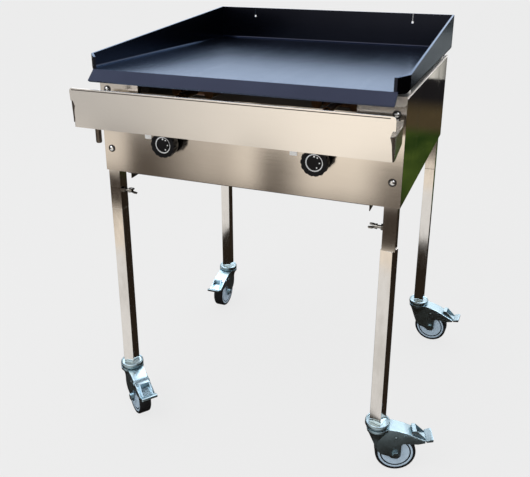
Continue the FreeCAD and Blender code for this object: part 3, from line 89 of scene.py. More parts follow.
class Shade:
    """A shader socket in an expression: arithmetic on it adds Math nodes."""

    def __init__(self, finish, socket):
        self.finish, self.socket = finish, socket

    def maths(self, operation, first, second=0.5):
        return self.finish.add("ShaderNodeMath", {"operation": operation}, {0: first, 1: second})

    def __add__(self, other):
        return self.maths("ADD", self, other)

    def __sub__(self, other):
        return self.maths("SUBTRACT", self, other)

    def __rsub__(self, other):
        return self.maths("SUBTRACT", other, self)

    def __mul__(self, other):
        return self.maths("MULTIPLY", self, other)

    def __gt__(self, other):
        return self.maths("GREATER_THAN", self, other)

    def __lt__(self, other):
        return self.maths("LESS_THAN", self, other)

    def size(self):
        return self.maths("ABSOLUTE", self)

    def between(self, low, high):
        """0 up to low, 1 from high, smooth in between."""
        ends = {"From Min": low, "From Max": high, "Value": self}
        return self.finish.add("ShaderNodeMapRange", {"interpolation_type": "SMOOTHSTEP"}, ends)

    __radd__ = __add__
    __rmul__ = __mul__


class Finish:
    """A material, or the world, with the one method that adds its nodes."""

    def __init__(self, name, owner=None, **values):
        self.owner = owner or bpy.data.materials.new(name)
        self.owner.use_nodes = True
        self.tree = self.owner.node_tree
        self.shader = self.tree.nodes.get("Principled BSDF")
        self.paint(**values)

    def feed(self, socket, value):
        """Links a shade to a socket, or sets the socket to a plain value."""
        if isinstance(value, Shade):
            self.tree.links.new(value.socket, socket)
        elif hasattr(value, "__len__") and len(value) == 3 and socket.type == "RGBA":
            socket.default_value = (*value, 1)
        else:
            socket.default_value = value

    def add(self, kind, settings=None, values=None, output=0):
        node = self.tree.nodes.new(kind)
        for name, value in (settings or {}).items():
            setattr(node, name, value)
        for name, value in (values or {}).items():
            self.feed(node.inputs[name], value)
        return Shade(self, node.outputs[output])

    def paint(self, **values):
        """Sets the shader's own sockets: base_color=..., roughness=..., and so on."""
        for name, value in values.items():
            words = [word if word == "IOR" else word.capitalize() for word in name.split("_")]
            self.feed(self.shader.inputs[" ".join(words)], value)
        return self

    def spot(self):
        return self.add("ShaderNodeTexCoord", output="Object")

    def axes(self):
        """The three object coordinates, in metres."""
        split = self.add("ShaderNodeSeparateXYZ", values={0: self.spot()})
        return [Shade(self, socket) for socket in split.socket.node.outputs]

    def cloud(self, stretch, detail=3, roughness=0.5):
        """Noise whose grains number stretch per metre along each axis."""
        spread = self.add("ShaderNodeMapping", values={"Vector": self.spot(), "Scale": stretch})
        levels = {"Vector": spread, "Scale": 1, "Detail": detail, "Roughness": roughness}
        return self.add("ShaderNodeTexNoise", values=levels)

    def blend(self, factor, first, second):
        ends = {0: factor, 6: first, 7: second}
        return self.add("ShaderNodeMix", {"data_type": "RGBA"}, ends, output=2)

    def relief(self, height, depth, strength=1.0):
        values = {"Height": height, "Distance": depth, "Strength": strength}
        return self.paint(normal=self.add("ShaderNodeBump", values=values))


def seen_directly(finish):
    """1 for what camera, mirror or clear glass shows, 0 for light that only falls on things."""
    rays = finish.add("ShaderNodeLightPath").socket.node.outputs
    camera_ray, glossy_ray, through_ray = (
        Shade(finish, rays[f"Is {kind} Ray"]) for kind in ("Camera", "Glossy", "Transmission")
    )
    return (camera_ray + glossy_ray + through_ray) > 0.5


def glow(finish, colour):
    return finish.add("ShaderNodeEmission", values={"Color": colour, "Strength": 1.0})


def light_up(finish, surface):
    """Puts a surface of its own in place of a material's plain shader."""
    finish.feed(finish.tree.nodes["Material Output"].inputs["Surface"], surface)


bpy.ops.mesh.primitive_plane_add(size=FLOOR_WIDTH)
floor = bpy.context.object
floor.name = "floor"
paint = Finish("floor_paint", base_color=PALE, roughness=0.9, specular_IOR_level=0.1)
share = seen_directly(paint) * FLOOR_GLOW
matt = Shade(paint, paint.shader.outputs[0])
mixed = {0: share, 1: matt, 2: glow(paint, PALE)}
light_up(paint, paint.add("ShaderNodeMixShader", values=mixed))
floor.data.materials.append(paint.owner)

sky = Finish("sky", owner=bpy.data.worlds.new("sky"))
scene.world = sky.owner
backdrop = sky.tree.nodes["Background"]
sky.feed(backdrop.inputs["Color"], sky.blend(seen_directly(sky), SKY_LIGHT, PALE))
bpy.ops.object.light_add(type="AREA", location=LAMP_PLACE)
lamp = bpy.context.object
lamp.rotation_euler = (Vector(LAMP_AIM) - lamp.location).to_track_quat("-Z", "Y").to_euler()
lamp.data.shape = "DISK"
lamp.data.size = LAMP_WIDTH
lamp.data.energy = LAMP_POWER

# Reflection cards: boards that only polished metal sees, set out as a photographer does.
# A banded one stands in front with dark wings, a dark green and brown ground lies under and
# behind, and pale blue boards behind and overhead give the plate its sheen.
FRONT_CARD_X = (-1.5, 0.9)
FRONT_CARD_Y = -1.2
FRONT_CARD_TOP = 1.1
LEG_BAND, SOCKET_BAND, TROUGH_BAND = 0.185, 0.352, 0.545
BAND_BLUR = 0.01
CARD_WARM = (1.0, 0.92, 0.83)
CARD_DARK = (0.09, 0.072, 0.058)
LEG_LIGHT = (0.95, 0.86, 0.75)
SOCKET_DARK = (0.05, 0.038, 0.030)
TROUGH_DIM, TROUGH_BRIGHT = (0.60, 0.58, 0.56), (1.30, 1.20, 1.07)
RIGHT_WING_END = (2.3, 0.6)
LEFT_WING_END = (-1.9, 1.2)
WING_DARK = (0.045, 0.032, 0.024)
SKY_X = (-6, 3)
SKY_FRONT, SKY_MIDDLE, SKY_BACK = -1.5, 0.5, 2.4
SKY_FOOT, SKY_TOP = 1.12, 3.4
LOW_SKY = (1.95, 1.95, 2.05)
HIGH_SKY = (3.0, 3.1, 3.5)
BRIGHT_SKY = (6.0, 6.6, 7.4)
GROUND_X = (-0.62, 6.0)
GROUND_Y = (-0.480, 20)
GROUND_LIFT = 0.002
FAR_CARD_X = (0.93, 1.4)
FAR_CARD_Y = 5.4
FAR_CARD_TOP = 0.5
FAR_PALE = (0.66, 0.64, 0.58)


def reflection_card(name, corners, colour=None):
    """A board through four corners, hidden from all but mirror reflections, and its finish."""
    bpy.ops.mesh.primitive_plane_add(size=1)
    card = bpy.context.object
    card.name = name
    for vertex, corner in zip(card.data.vertices, corners):
        vertex.co = corner
    for way in ("camera", "diffuse", "shadow", "transmission"):
        setattr(card, f"visible_{way}", False)
    board = Finish(name)
    card.data.materials.append(board.owner)
    if colour:
        light_up(board, glow(board, colour))
    return board


def upright(start, end, top, foot=0):
    """Corners of a standing board between two (x, y) places, in a plane's vertex order."""
    return [(*start, foot), (*end, foot), (*start, top), (*end, top)]


def lying(left, right, front, back, height):
    """Corners of a flat board, in the same order."""
    return [(x, y, height) for y in (front, back) for x in (left, right)]


def above(height, level, blur=BAND_BLUR):
    """0 below a level and 1 above it, with a soft step."""
    return height.between(level - blur, level + blur)


left, right = ((x, FRONT_CARD_Y) for x in FRONT_CARD_X)
board = reflection_card("front_card", upright(left, right, FRONT_CARD_TOP))
x, y, z = board.axes()
left_band = x.between(-0.92, -0.87) - 0.62 * x.between(-0.80, -0.5)
left_band = left_band - 0.38 * x.between(-0.48, -0.36)
middle_band = 0.9 * x.between(-0.36, -0.27) * (1 - x.between(-0.25, -0.08))
right_band = 0.85 * x.between(0.06, 0.20)
shadow = left_band * (1 - x.between(-0.36, -0.25)) + middle_band + right_band
shadow = board.add("ShaderNodeClamp", values={0: shadow})
panel_view = board.blend(shadow, CARD_WARM, CARD_DARK)
trough_view = board.blend(x.between(-1.1, 0.3), TROUGH_DIM, TROUGH_BRIGHT)
trough_view = board.blend(x.between(0.30, 0.36), trough_view, CARD_DARK)
view = board.blend(above(z, TROUGH_BAND, 2 * BAND_BLUR), panel_view, trough_view)
view = board.blend(above(z, SOCKET_BAND), SOCKET_DARK, view)
light_up(board, glow(board, board.blend(above(z, LEG_BAND), LEG_LIGHT, view)))

reflection_card("right_wing", upright(right, RIGHT_WING_END, FRONT_CARD_TOP), WING_DARK)
reflection_card("left_wing", upright(LEFT_WING_END, left, FRONT_CARD_TOP), WING_DARK)
sky_ends = ((x, SKY_BACK) for x in SKY_X)
reflection_card("low_sky", upright(*sky_ends, SKY_TOP, SKY_FOOT), LOW_SKY)
reflection_card("high_sky", lying(*SKY_X, SKY_FRONT, SKY_MIDDLE, SKY_TOP), HIGH_SKY)
reflection_card("bright_sky", lying(*SKY_X, SKY_MIDDLE, SKY_BACK, SKY_TOP), BRIGHT_SKY)

board = reflection_card("ground_card", lying(*GROUND_X, *GROUND_Y, GROUND_LIFT))
x, y, z = board.axes()
blades = board.cloud((9, 1.2, 1), detail=6, roughness=0.7)
grass = board.blend(blades.between(0.35, 0.7), (0.012, 0.03, 0.006), (0.075, 0.11, 0.02))
soil = board.blend(blades, (0.012, 0.008, 0.006), (0.035, 0.026, 0.018))
wood = board.blend(blades, (0.03, 0.022, 0.012), (0.11, 0.08, 0.04))
lawn = board.blend(y.between(1.35, 1.75), soil, grass)
lawn = board.blend(y.between(2.9, 3.3), lawn, wood)
lawn = board.blend(y.between(3.6, 4.4), lawn, (0.012, 0.011, 0.012))
lawn = board.blend(y.between(6.5, 8.5), lawn, (0.060, 0.058, 0.045))
light_up(board, glow(board, lawn))

far_ends = ((x, FAR_CARD_Y) for x in FAR_CARD_X)
reflection_card("far_card", upright(*far_ends, FAR_CARD_TOP), FAR_PALE)

# Gas box: front and back of brushed stainless sheet with the grain running across,
# and mirror-bright side sheets. All four are folded and punched, then screwed to the legs.
SHEET_EDGE = 0.0004
SHARP = math.radians(32)
CREASE = math.radians(40)
FLAT = math.radians(0.5)
WELD_GAP = 0.00001
INSIDE_X, INSIDE_Y, INSIDE_Z = 0.3655, 0.3316, (0.70, 0.924)
# Metal behind the four sheets turns near-black brown: soot, and painted shade of the box's
# inside.
SOOT_AND_SHADE = (0.030, 0.022, 0.018)
SOOT_AND_SHADE_COVER, SOOT_DULL = 0.93, 0.35
GRAIN = (5, 700, 700)
GRAIN_DEPTH = 0.000025


def choose(piece):
    """Makes one object the only selected and active one."""
    bpy.ops.object.select_all(action="DESELECT")
    piece.select_set(True)
    bpy.context.view_layer.objects.active = piece
    return piece


def place_in_mesh():
    """Moves the chosen object's place, turn and scale into its mesh."""
    bpy.ops.object.transform_apply(location=True, rotation=True, scale=True)


def settle(piece, body, slot, *finishes):
    """Puts a finished piece on its body with its place in its mesh."""
    choose(piece)
    place_in_mesh()
    piece.data.materials.clear()
    for finish in finishes:
        piece.data.materials.append(finish.owner)
    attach(piece, body)
    return piece


def soften(piece, width=0, steps=2):
    """Rounds a piece's sharp edges by a width, if it has one, and shades the rest smooth."""
    choose(piece)
    if width:
        rounding = piece.modifiers.new("rounding", "BEVEL")
        rounding.width = width
        rounding.segments = steps
        rounding.limit_method = "ANGLE"
        rounding.angle_limit = SHARP
        bpy.ops.object.modifier_apply(modifier=rounding.name)
    bpy.ops.object.shade_smooth_by_angle(angle=CREASE)
    flatness = piece.modifiers.new("flatness", "WEIGHTED_NORMAL")
    flatness.weight = 100
    flatness.keep_sharp = True
    bpy.ops.object.modifier_apply(modifier=flatness.name)
    return piece


def open_mesh():
    """Enters edit mode with the whole mesh selected."""
    bpy.ops.object.mode_set(mode="EDIT")
    bpy.ops.mesh.select_all(action="SELECT")


def pressed(node, finish, slot, width=SHEET_EDGE, steps=2):
    """A solid of the frame as a made part: faces joined, edges rounded, finish on."""
    source = frame["nodes"][node]
    piece = bpy.data.objects.new(f"finished_{node}", source.data.copy())
    scene.collection.objects.link(piece)
    choose(piece)
    open_mesh()
    bpy.ops.mesh.remove_doubles(threshold=WELD_GAP)
    bpy.ops.mesh.dissolve_limited(angle_limit=FLAT)
    bpy.ops.object.mode_set(mode="OBJECT")
    soften(piece, width, steps)
    settle(piece, source["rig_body"], slot, finish)
    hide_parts(node)
    return piece


def sooted_and_shaded(finish, colour, roughness):
    """Darkens and roughens a metal behind the four sheets: soot, and painted shade."""
    x, y, z = finish.axes()
    low, high = INSIDE_Z
    hidden = (x.size() < INSIDE_X) * (y.size() < INSIDE_Y) * (z > low) * (z < high)
    return finish.paint(
        base_color=finish.blend(hidden * SOOT_AND_SHADE_COVER, colour, SOOT_AND_SHADE),
        roughness=roughness + hidden * SOOT_DULL,
    )


def brushed_steel(name, light, dark, smooth, coarse, lean=0):
    """Stainless sheet with fine lines along X; lean mirrors as if the sheet sloped so much."""
    steel = Finish(name, metallic=1, anisotropic=0.6, anisotropic_rotation=0.25)
    lines = steel.cloud(GRAIN, detail=3, roughness=0.6)
    stains = steel.cloud((7, 7, 9), detail=4, roughness=0.6)
    clean = steel.blend(lines * 0.5 + stains * 0.5, dark, light)
    sooted_and_shaded(steel, clean, smooth + (coarse - smooth) * (lines * 0.7 + stains * 0.3))
    height = steel.axes()[2]
    return steel.relief(lines + height * (lean / GRAIN_DEPTH), GRAIN_DEPTH)


def mirror_steel(name, colour, tarnish, shine=0.07, soot_and_shade=True):
    """Bright rolled steel: a near mirror with faint handling marks, with soot and painted shade
    inside the box unless turned off.
    """
    steel = Finish(name, metallic=1)
    marks = steel.cloud((14, 14, 5), detail=5, roughness=0.65).between(0.42, 0.78)
    clean, gloss = steel.blend(marks, colour, tarnish), shine + marks * 0.10
    if soot_and_shade:
        sooted_and_shaded(steel, clean, gloss)
    else:
        steel.paint(base_color=clean, roughness=gloss)
    sag = steel.cloud((3, 3, 9), detail=1)
    return steel.relief(sag, 0.0003, 0.15)


panel_steel = brushed_steel(
    "brushed_panel_steel", (0.78, 0.73, 0.66), (0.60, 0.55, 0.49), 0.10, 0.19
)
side_steel = mirror_steel("bright_side_steel", (0.72, 0.70, 0.67), (0.62, 0.60, 0.56))
rail_steel = mirror_steel("satin_rail_steel", (0.88, 0.84, 0.78), (0.70, 0.66, 0.61), 0.36)
# Near-black steel as painted shade: on the bottom rails, which lie in shadow under the sheets,
# and in the trough's hem.
painted_shade_steel = mirror_steel(
    "painted_shade_rail_steel", (0.10, 0.085, 0.075), (0.05, 0.042, 0.036), 0.35, soot_and_shade=False
)
for node, finish in (
    ("front_panel", panel_steel),
    ("back_panel", panel_steel),
    ("left_side_panel", side_steel),
    ("right_side_panel", side_steel),
    ("plate_rail_left", rail_steel),
    ("plate_rail_right", rail_steel),
    ("trough_hangers", panel_steel),
    ("front_bottom_rail", painted_shade_steel),
    ("rear_bottom_rail", painted_shade_steel),
):
    pressed(node, finish, "panel_steel")

# Panel screws: domed cross-head screws on washers coloured near black as painted shade, two down
# each front corner.
# Each is turned and pressed from bright plated steel, and clamps the sheet to a leg.
LEG_X = 0.348
SCREW_HEIGHTS = (0.752, 0.899)
PANEL_FACE = -0.334
FIRST_TWIST, NEXT_TWIST = 17, 31
SCREW_PROFILE = [
    (0, 0.0048), (0.0018, 0.00465), (0.0036, 0.0042), (0.0051, 0.0033), (0.0059, 0.0022),
    (0.0061, 0.0013), (0.0060, 0.0006), (0.0030, 0.0006), (0.0030, -0.012), (0, -0.012),
]
WASHER_PROFILE = [
    (0.0032, 0.0011), (0.0088, 0.0011), (0.0092, 0.0007), (0.0092, 0.0), (0.0032, 0.0),
]
CROSS_LENGTH, CROSS_WIDTH, CROSS_DEPTH = 0.0036, 0.0009, 0.0012
SEAM_GAP = 0.000002


def close_mesh():
    """Turns all normals outward and leaves edit mode."""
    bpy.ops.mesh.select_all(action="SELECT")
    bpy.ops.mesh.normals_make_consistent(inside=False)
    bpy.ops.object.mode_set(mode="OBJECT")


def turned(name, profile, steps=48, closed=False):
    """A profile of (radius, height) points drawn from one vertex and spun once round Z."""
    bpy.ops.mesh.primitive_plane_add(size=0.001)
    piece = bpy.context.object
    piece.name = name
    open_mesh()
    bpy.ops.mesh.merge(type="CENTER")
    bpy.ops.transform.translate(value=(profile[0][0], 0, profile[0][1]))
    path = list(profile) + list(profile[:1]) * closed
    for (radius, height), (next_radius, next_height) in zip(path, path[1:]):
        step = (next_radius - radius, 0, next_height - height)
        bpy.ops.mesh.extrude_region_move(TRANSFORM_OT_translate={"value": step})
    bpy.ops.mesh.select_all(action="SELECT")
    bpy.ops.mesh.spin(steps=steps, angle=2 * math.pi, center=(0, 0, 0), axis=(0, 0, 1))
    bpy.ops.mesh.select_all(action="SELECT")
    bpy.ops.mesh.remove_doubles(threshold=SEAM_GAP)
    close_mesh()
    return piece


def carve(piece, tool, operation="DIFFERENCE"):
    """Cuts a tool's shape out of a piece, or keeps what the two share; the tool goes."""
    choose(piece)
    cutting = piece.modifiers.new("cutting", "BOOLEAN")
    cutting.object = tool
    cutting.operation = operation
    cutting.solver = "EXACT"
    bpy.ops.object.modifier_apply(modifier=cutting.name)
    bpy.data.objects.remove(tool)
    return piece


def copied(piece, name, location, turn):
    """A copy with a mesh of its own, moved and turned."""
    twin = piece.copy()
    twin.data = piece.data.copy()
    twin.name = name
    twin.location, twin.rotation_euler = location, turn
    scene.collection.objects.link(twin)
    return twin


def joined(name, pieces):
    """Several objects as one mesh, kept by the first of them."""
    choose(pieces[0])
    for piece in pieces:
        piece.select_set(True)
    bpy.ops.object.join()
    whole = bpy.context.object
    whole.name = name
    return whole


bolt_chrome = mirror_steel(
    "bright_bolt_plate", (0.80, 0.80, 0.79), (0.62, 0.61, 0.60), 0.12, soot_and_shade=False
)
# The washers' near-black colour is painted shade round each screw head.
washer_painted_shade = mirror_steel(
    "washer_painted_shade_plate", (0.09, 0.085, 0.08), (0.04, 0.04, 0.04), 0.25, soot_and_shade=False
)
screw = turned("screw", SCREW_PROFILE)
for width, height in ((CROSS_LENGTH, CROSS_WIDTH), (CROSS_WIDTH, CROSS_LENGTH)):
    bpy.ops.mesh.primitive_cube_add(size=1, location=(0, 0, SCREW_PROFILE[0][1]))
    cross_tool = bpy.context.object
    cross_tool.scale = (width, height, 2 * CROSS_DEPTH)
    carve(screw, cross_tool)
washer = turned("washer", WASHER_PROFILE, closed=True)
screws, washers = [], []
for i, (x, z) in enumerate((x, z) for x in (-LEG_X, LEG_X) for z in SCREW_HEIGHTS):
    twist = Matrix.Rotation(math.radians(FIRST_TWIST + NEXT_TWIST * i), 3, "Z")
    turn = (Matrix.Rotation(math.pi / 2, 3, "X") @ twist).to_euler()
    screws.append(copied(screw, f"screw_{i}", (x, PANEL_FACE, z), turn))
    washers.append(copied(washer, f"washer_{i}", (x, PANEL_FACE, z), turn))
bpy.data.objects.remove(screw)
bpy.data.objects.remove(washer)
screws = soften(joined("panel_screws_finished", screws), 0.00015, 1)
settle(screws, "housing", "bright_fastener", bolt_chrome)
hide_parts("panel_screws")
washers = soften(joined("panel_washers", washers))
settle(washers, "housing", "bright_fastener", washer_painted_shade)

# Legs: square stainless tube in two lengths. The lower slides in the upper on a round insert and
# a wing bolt through a weld nut clamps it. Four levelling screws on the box carry the plate.
TUBE_EDGE = 0.0012
FOOT_LINE = 0.137
FOOT_SET = 0.0031
CORNERS = [f"{end}_{side}" for end in ("front", "back") for side in ("left", "right")]
tube_steel = mirror_steel("bright_tube_steel", (0.80, 0.76, 0.71), (0.64, 0.60, 0.55), 0.09)
dull_zinc = mirror_steel(
    "dull_bolt_zinc", (0.34, 0.33, 0.31), (0.14, 0.13, 0.12), 0.22, soot_and_shade=False
)
for corner in CORNERS:
    pressed(f"leg_socket_{corner}", tube_steel, "tube_steel", TUBE_EDGE, 3)
    tube = pressed(f"lower_leg_{corner}", tube_steel, "tube_steel", TUBE_EDGE, 3)
    # The foot of the tube reaches down into the raised ring of the caster's head.
    for vertex in tube.data.vertices:
        if vertex.co.z < FOOT_LINE:
            vertex.co.z -= FOOT_SET
    pressed(f"wing_bolt_{corner}", dull_zinc, "bright_fastener", 0.0006)
pressed("weld_nuts", dull_zinc, "bright_fastener", 0.0005)
pressed("levelling_screws", bolt_chrome, "bright_fastener", 0.0005)

# Casters: zinc-plated swivel casters. A head ring is pressed up round the foot of the leg, a fork
# of bent sheet turns below it on a ball race, and a lever brake pivots between the fork's cheeks.
# The wheel is a moulded disc in a rubber tyre. Each is made at the origin, trailing along X.
CASTER_TURNS = {"front_left": -38.4, "front_right": 18, "back_left": -88.7, "back_right": -3.6}
LEG_Y = 0.3175
AXLE_X, AXLE_Z = 0.0465, 0.050
WHEEL_STEPS = 72
TO_FRONT = (math.pi / 2, 0, 0)
HEAD_PROFILE = [
    (0, 0.1150), (0.0060, 0.1150), (0.0060, 0.1214), (0.0266, 0.1214), (0.0272, 0.1224),
    (0.0297, 0.1231), (0.0305, 0.1246), (0.0305, 0.1300), (0.0301, 0.1325), (0.0291, 0.1342),
    (0.0278, 0.1349), (0.0266, 0.1344), (0.0259, 0.1331), (0.0254, 0.1321), (0.0242, 0.1317),
    (0.0142, 0.1317), (0.0140, 0.1350), (0, 0.1350),
]
# The fork, as (radius, height) rings of its crown outside and inside, and as (x, z) outlines.
FORK_HALF = 0.021
FORK_SHEET = 0.0025
FORK_LENGTH = 0.1165
FORK_BEND = 0.0022
CROWN_FILLET = 0.010
CROWN_STEPS, FILLET_STEPS, CHEEK_STEPS = 20, 6, 12
CROWN_PROFILE = [
    (0.0210, 0.0300), (0.0210, 0.0810), (0.0212, 0.0881), (0.0220, 0.0950), (0.0233, 0.1005),
    (0.0249, 0.1050), (0.0265, 0.1083), (0.0278, 0.1106), (0.0289, 0.1121), (0.0299, 0.1130),
    (0.0304, 0.1138), (0.0305, 0.1148), (0.0305, 0.1199), (0.0302, 0.1207), (0.0295, 0.1210),
]
HOLLOW_PROFILE = [
    (0.0185, 0.0200), (0.0185, 0.0840), (0.0198, 0.0965), (0.0212, 0.1017), (0.0230, 0.1062),
    (0.0258, 0.1110), (0.0276, 0.1135), (0.0276, 0.1300),
]
FORK_SIDE = [
    (-0.0275, 0.1220), (-0.0275, 0.1209), (-0.0250, 0.1120), (-0.0140, 0.0904), (0.0004, 0.0597),
    (0.0091, 0.0500), (0.0309, 0.0431), (0.0378, 0.0375), (0.0590, 0.0375), (0.0590, 0.0815),
    (0.0992, 0.0815), (0.1160, 0.0860), (0.1160, 0.0915), (0.0910, 0.1025), (0.0680, 0.1125),
    (0.0500, 0.1175), (0.0275, 0.1210), (0.0275, 0.1220),
]
FORK_ROUNDS = {5: 0.012, 7: 0.006, 8: 0.0112, 9: 0.0075, 13: 0.03, 14: 0.05}
FORK_HOLLOW = [
    (-0.061, 0.020), (0.130, 0.020), (0.130, 0.130), (0.0835, 0.130), (0.0835, 0.1032),
    (0.0680, 0.1100), (0.0500, 0.1150), (0.0275, 0.1185), (-0.061, 0.1185),
]
CUT_REACH = 0.05
BROW_X = (0.0285, 0.1162)
BROW_FOOT, BROW_RISE = 0.087, 0.02
RIVET_X, RIVET_Z = 0.0455, 0.0985
RIVET_PROFILE = [
    (0, 0.0013), (0.0014, 0.0012), (0.0026, 0.0008), (0.0033, 0), (0.0033, -0.001), (0, -0.001),
]
# Half of the wheel, as (radius, distance from its middle plane).
DISC_HALF = [
    (0.0062, 0.0175), (0.0122, 0.0175), (0.0130, 0.0167), (0.0133, 0.0148), (0.0345, 0.0144),
    (0.0351, 0.0138), (0.0353, 0.0118), (0.0379, 0.0118), (0.0381, 0.0144), (0.0388, 0.0151),
    (0.0424, 0.0151), (0.0430, 0.0144),
]
DISC_GROOVE, GROOVE_TOP = (0.0350, 0.0382), 0.0143
TYRE_HALF = [
    (0.0431, 0.0138), (0.0438, 0.0153), (0.0455, 0.0160), (0.0475, 0.0158), (0.0489, 0.0148),
    (0.0497, 0.0133), (0.0500, 0.0112),
]


def rounded(points, rounds, steps=6):
    """An outline with some of its corners turned into arcs."""
    softer = []
    for i, point in enumerate(points):
        corner = Vector(point)
        if i not in rounds:
            softer.append(tuple(corner))
            continue
        back = (Vector(points[i - 1]) - corner).normalized()
        ahead = (Vector(points[(i + 1) % len(points)]) - corner).normalized()
        half = back.angle(ahead) / 2
        centre = corner + (back + ahead).normalized() * rounds[i] / math.sin(half)
        reach = rounds[i] / math.tan(half)
        start, end = corner + back * reach - centre, corner + ahead * reach - centre
        for k in range(steps + 1):
            softer.append(tuple(centre + start.lerp(end, k / steps).normalized() * rounds[i]))
    return softer


def cut_out(name, points, front, back):
    """A flat outline of (x, z) points pulled out along Y from front to back."""
    bpy.ops.mesh.primitive_circle_add(vertices=len(points), fill_type="NGON")
    piece = bpy.context.object
    piece.name = name
    for vertex, (along, up) in zip(piece.data.vertices, points):
        vertex.co = (along, front, up)
    open_mesh()
    pull = {"value": (0, back - front, 0)}
    bpy.ops.mesh.extrude_region_move(TRANSFORM_OT_translate=pull)
    close_mesh()
    return piece


def lofted(name, rings):
    """A solid skinned over rings of points, from a grid wrapped round and closed at its ends."""
    across, up = len(rings[0]), len(rings)
    bpy.ops.mesh.primitive_grid_add(x_subdivisions=across, y_subdivisions=up - 1)
    piece = bpy.context.object
    piece.name = name
    places = [point for ring in rings for point in ring + ring[:1]]
    for vertex, place in zip(piece.data.vertices, places):
        vertex.co = place
    open_mesh()
    bpy.ops.mesh.remove_doubles(threshold=SEAM_GAP)
    bpy.ops.mesh.select_all(action="SELECT")
    bpy.ops.mesh.fill_holes(sides=0)
    close_mesh()
    return piece


def bullet(radius, height, half, end):
    """The fork in plan: a round crown that runs into straight cheeks by a hollow curve."""
    hollow_y = half + CROWN_FILLET
    reach = math.sqrt(max((radius + CROWN_FILLET) ** 2 - hollow_y ** 2, 0))
    lean = math.atan2(hollow_y, reach)
    side = []
    for k in range(CROWN_STEPS + 1):
        turn = math.pi - (math.pi - lean) * k / CROWN_STEPS
        side.append((radius * math.cos(turn), radius * math.sin(turn), height))
    for k in range(1, FILLET_STEPS + 1):
        turn = lean + math.pi + (math.pi / 2 - lean) * k / FILLET_STEPS
        x, y = reach + CROWN_FILLET * math.cos(turn), hollow_y + CROWN_FILLET * math.sin(turn)
        side.append((x, y, height))
    for k in range(1, CHEEK_STEPS + 1):
        side.append((reach + (end - reach) * k / CHEEK_STEPS, half, height))
    return side + [(x, -y, z) for x, y, z in reversed(side[1:])]


def rolled_edges(piece, width, chosen):
    """Rounds the edges that a test picks by the places of their two ends."""
    choose(piece)
    open_mesh()
    bpy.ops.mesh.dissolve_limited(angle_limit=math.radians(0.2))
    bpy.ops.mesh.select_mode(type="EDGE")
    bpy.ops.mesh.select_all(action="DESELECT")
    bpy.ops.object.mode_set(mode="OBJECT")
    for edge in piece.data.edges:
        edge.select = chosen(*(piece.data.vertices[i].co for i in edge.vertices))
    bpy.ops.object.mode_set(mode="EDIT")
    bpy.ops.mesh.bevel(offset=width, segments=4)
    bpy.ops.mesh.select_mode(type="VERT")
    bpy.ops.object.mode_set(mode="OBJECT")
    return piece


def on_brow(*ends):
    """True for an edge where the fork's sheet bends over from its top into a cheek."""
    near, far = BROW_X
    low = BROW_FOOT + BROW_RISE * (FORK_LENGTH - ends[0].x)
    lengthwise = abs((ends[0] - ends[1]).normalized().x) > 0.8
    return lengthwise and all(
        abs(end.y) > FORK_HALF - 0.0001 and near < end.x < far and end.z > low for end in ends
    )


def both_halves(profile):
    """A wheel's profile on both sides of its middle plane."""
    return profile + [(radius, -half) for radius, half in reversed(profile)]


def mottled(name, tones, stretch, detail, roughness, drift=0, noise=0.5, **values):
    """A finish that wanders between two tones, and by drift in its roughness as well."""
    finish = Finish(name, **values)
    clouds = finish.cloud(stretch, detail, noise)
    if drift:
        roughness = roughness + clouds * drift
    return finish.paint(base_color=finish.blend(clouds, *tones), roughness=roughness)


def caster_stand(corner):
    """Where a corner's leg stands on the floor, and the turn of its caster."""
    end, side = corner.split("_")
    place = Vector((LEG_X if side == "right" else -LEG_X, LEG_Y if end == "back" else -LEG_Y, 0))
    return place, math.radians(CASTER_TURNS[corner])


def rubber_in_groove(disc, corner):
    """Gives the groove round each side of a placed wheel disc its second finish."""
    place, turn = caster_stand(corner)
    across = Vector((-math.sin(turn), math.cos(turn), 0))
    hub = place + Vector((AXLE_X * math.cos(turn), AXLE_X * math.sin(turn), AXLE_Z))
    inner, outer = DISC_GROOVE
    for face in disc.data.polygons:
        away = face.center - hub
        out = away.dot(across)
        radius = (away - across * out).length
        face.material_index = int(inner < radius < outer and abs(out) < GROOVE_TOP)


fork = lofted("fork", [bullet(*level, FORK_HALF, FORK_LENGTH) for level in CROWN_PROFILE])
side = cut_out("side", rounded(FORK_SIDE, FORK_ROUNDS), -CUT_REACH, CUT_REACH)
carve(fork, side, "INTERSECT")
rolled_edges(fork, FORK_BEND, on_brow)
inner_half, inner_length = FORK_HALF - FORK_SHEET, FORK_LENGTH + 0.01
hollow = lofted("hollow", [bullet(*level, inner_half, inner_length) for level in HOLLOW_PROFILE])
carve(hollow, cut_out("under", FORK_HOLLOW, -CUT_REACH, CUT_REACH), "INTERSECT")
carve(fork, hollow)
soften(fork, 0.0004)
rivets = []
for sign in (-1, 1):
    rivet = turned(f"rivet_{sign}", RIVET_PROFILE, 24)
    rivet.rotation_euler = (-sign * math.pi / 2, 0, 0)
    rivet.location = (RIVET_X, sign * FORK_HALF, RIVET_Z)
    rivets.append(soften(rivet))
fork = choose(joined("caster_fork", [fork, *rivets]))
place_in_mesh()
head = soften(turned("caster_head", HEAD_PROFILE, WHEEL_STEPS))
disc = turned("wheel_disc", both_halves(DISC_HALF), WHEEL_STEPS, closed=True)
band = turned("tyre", both_halves(TYRE_HALF), WHEEL_STEPS, closed=True)
for round_piece in (disc, band):
    soften(round_piece)
    round_piece.rotation_euler = TO_FRONT
    round_piece.location = (AXLE_X, 0, AXLE_Z)
    place_in_mesh()

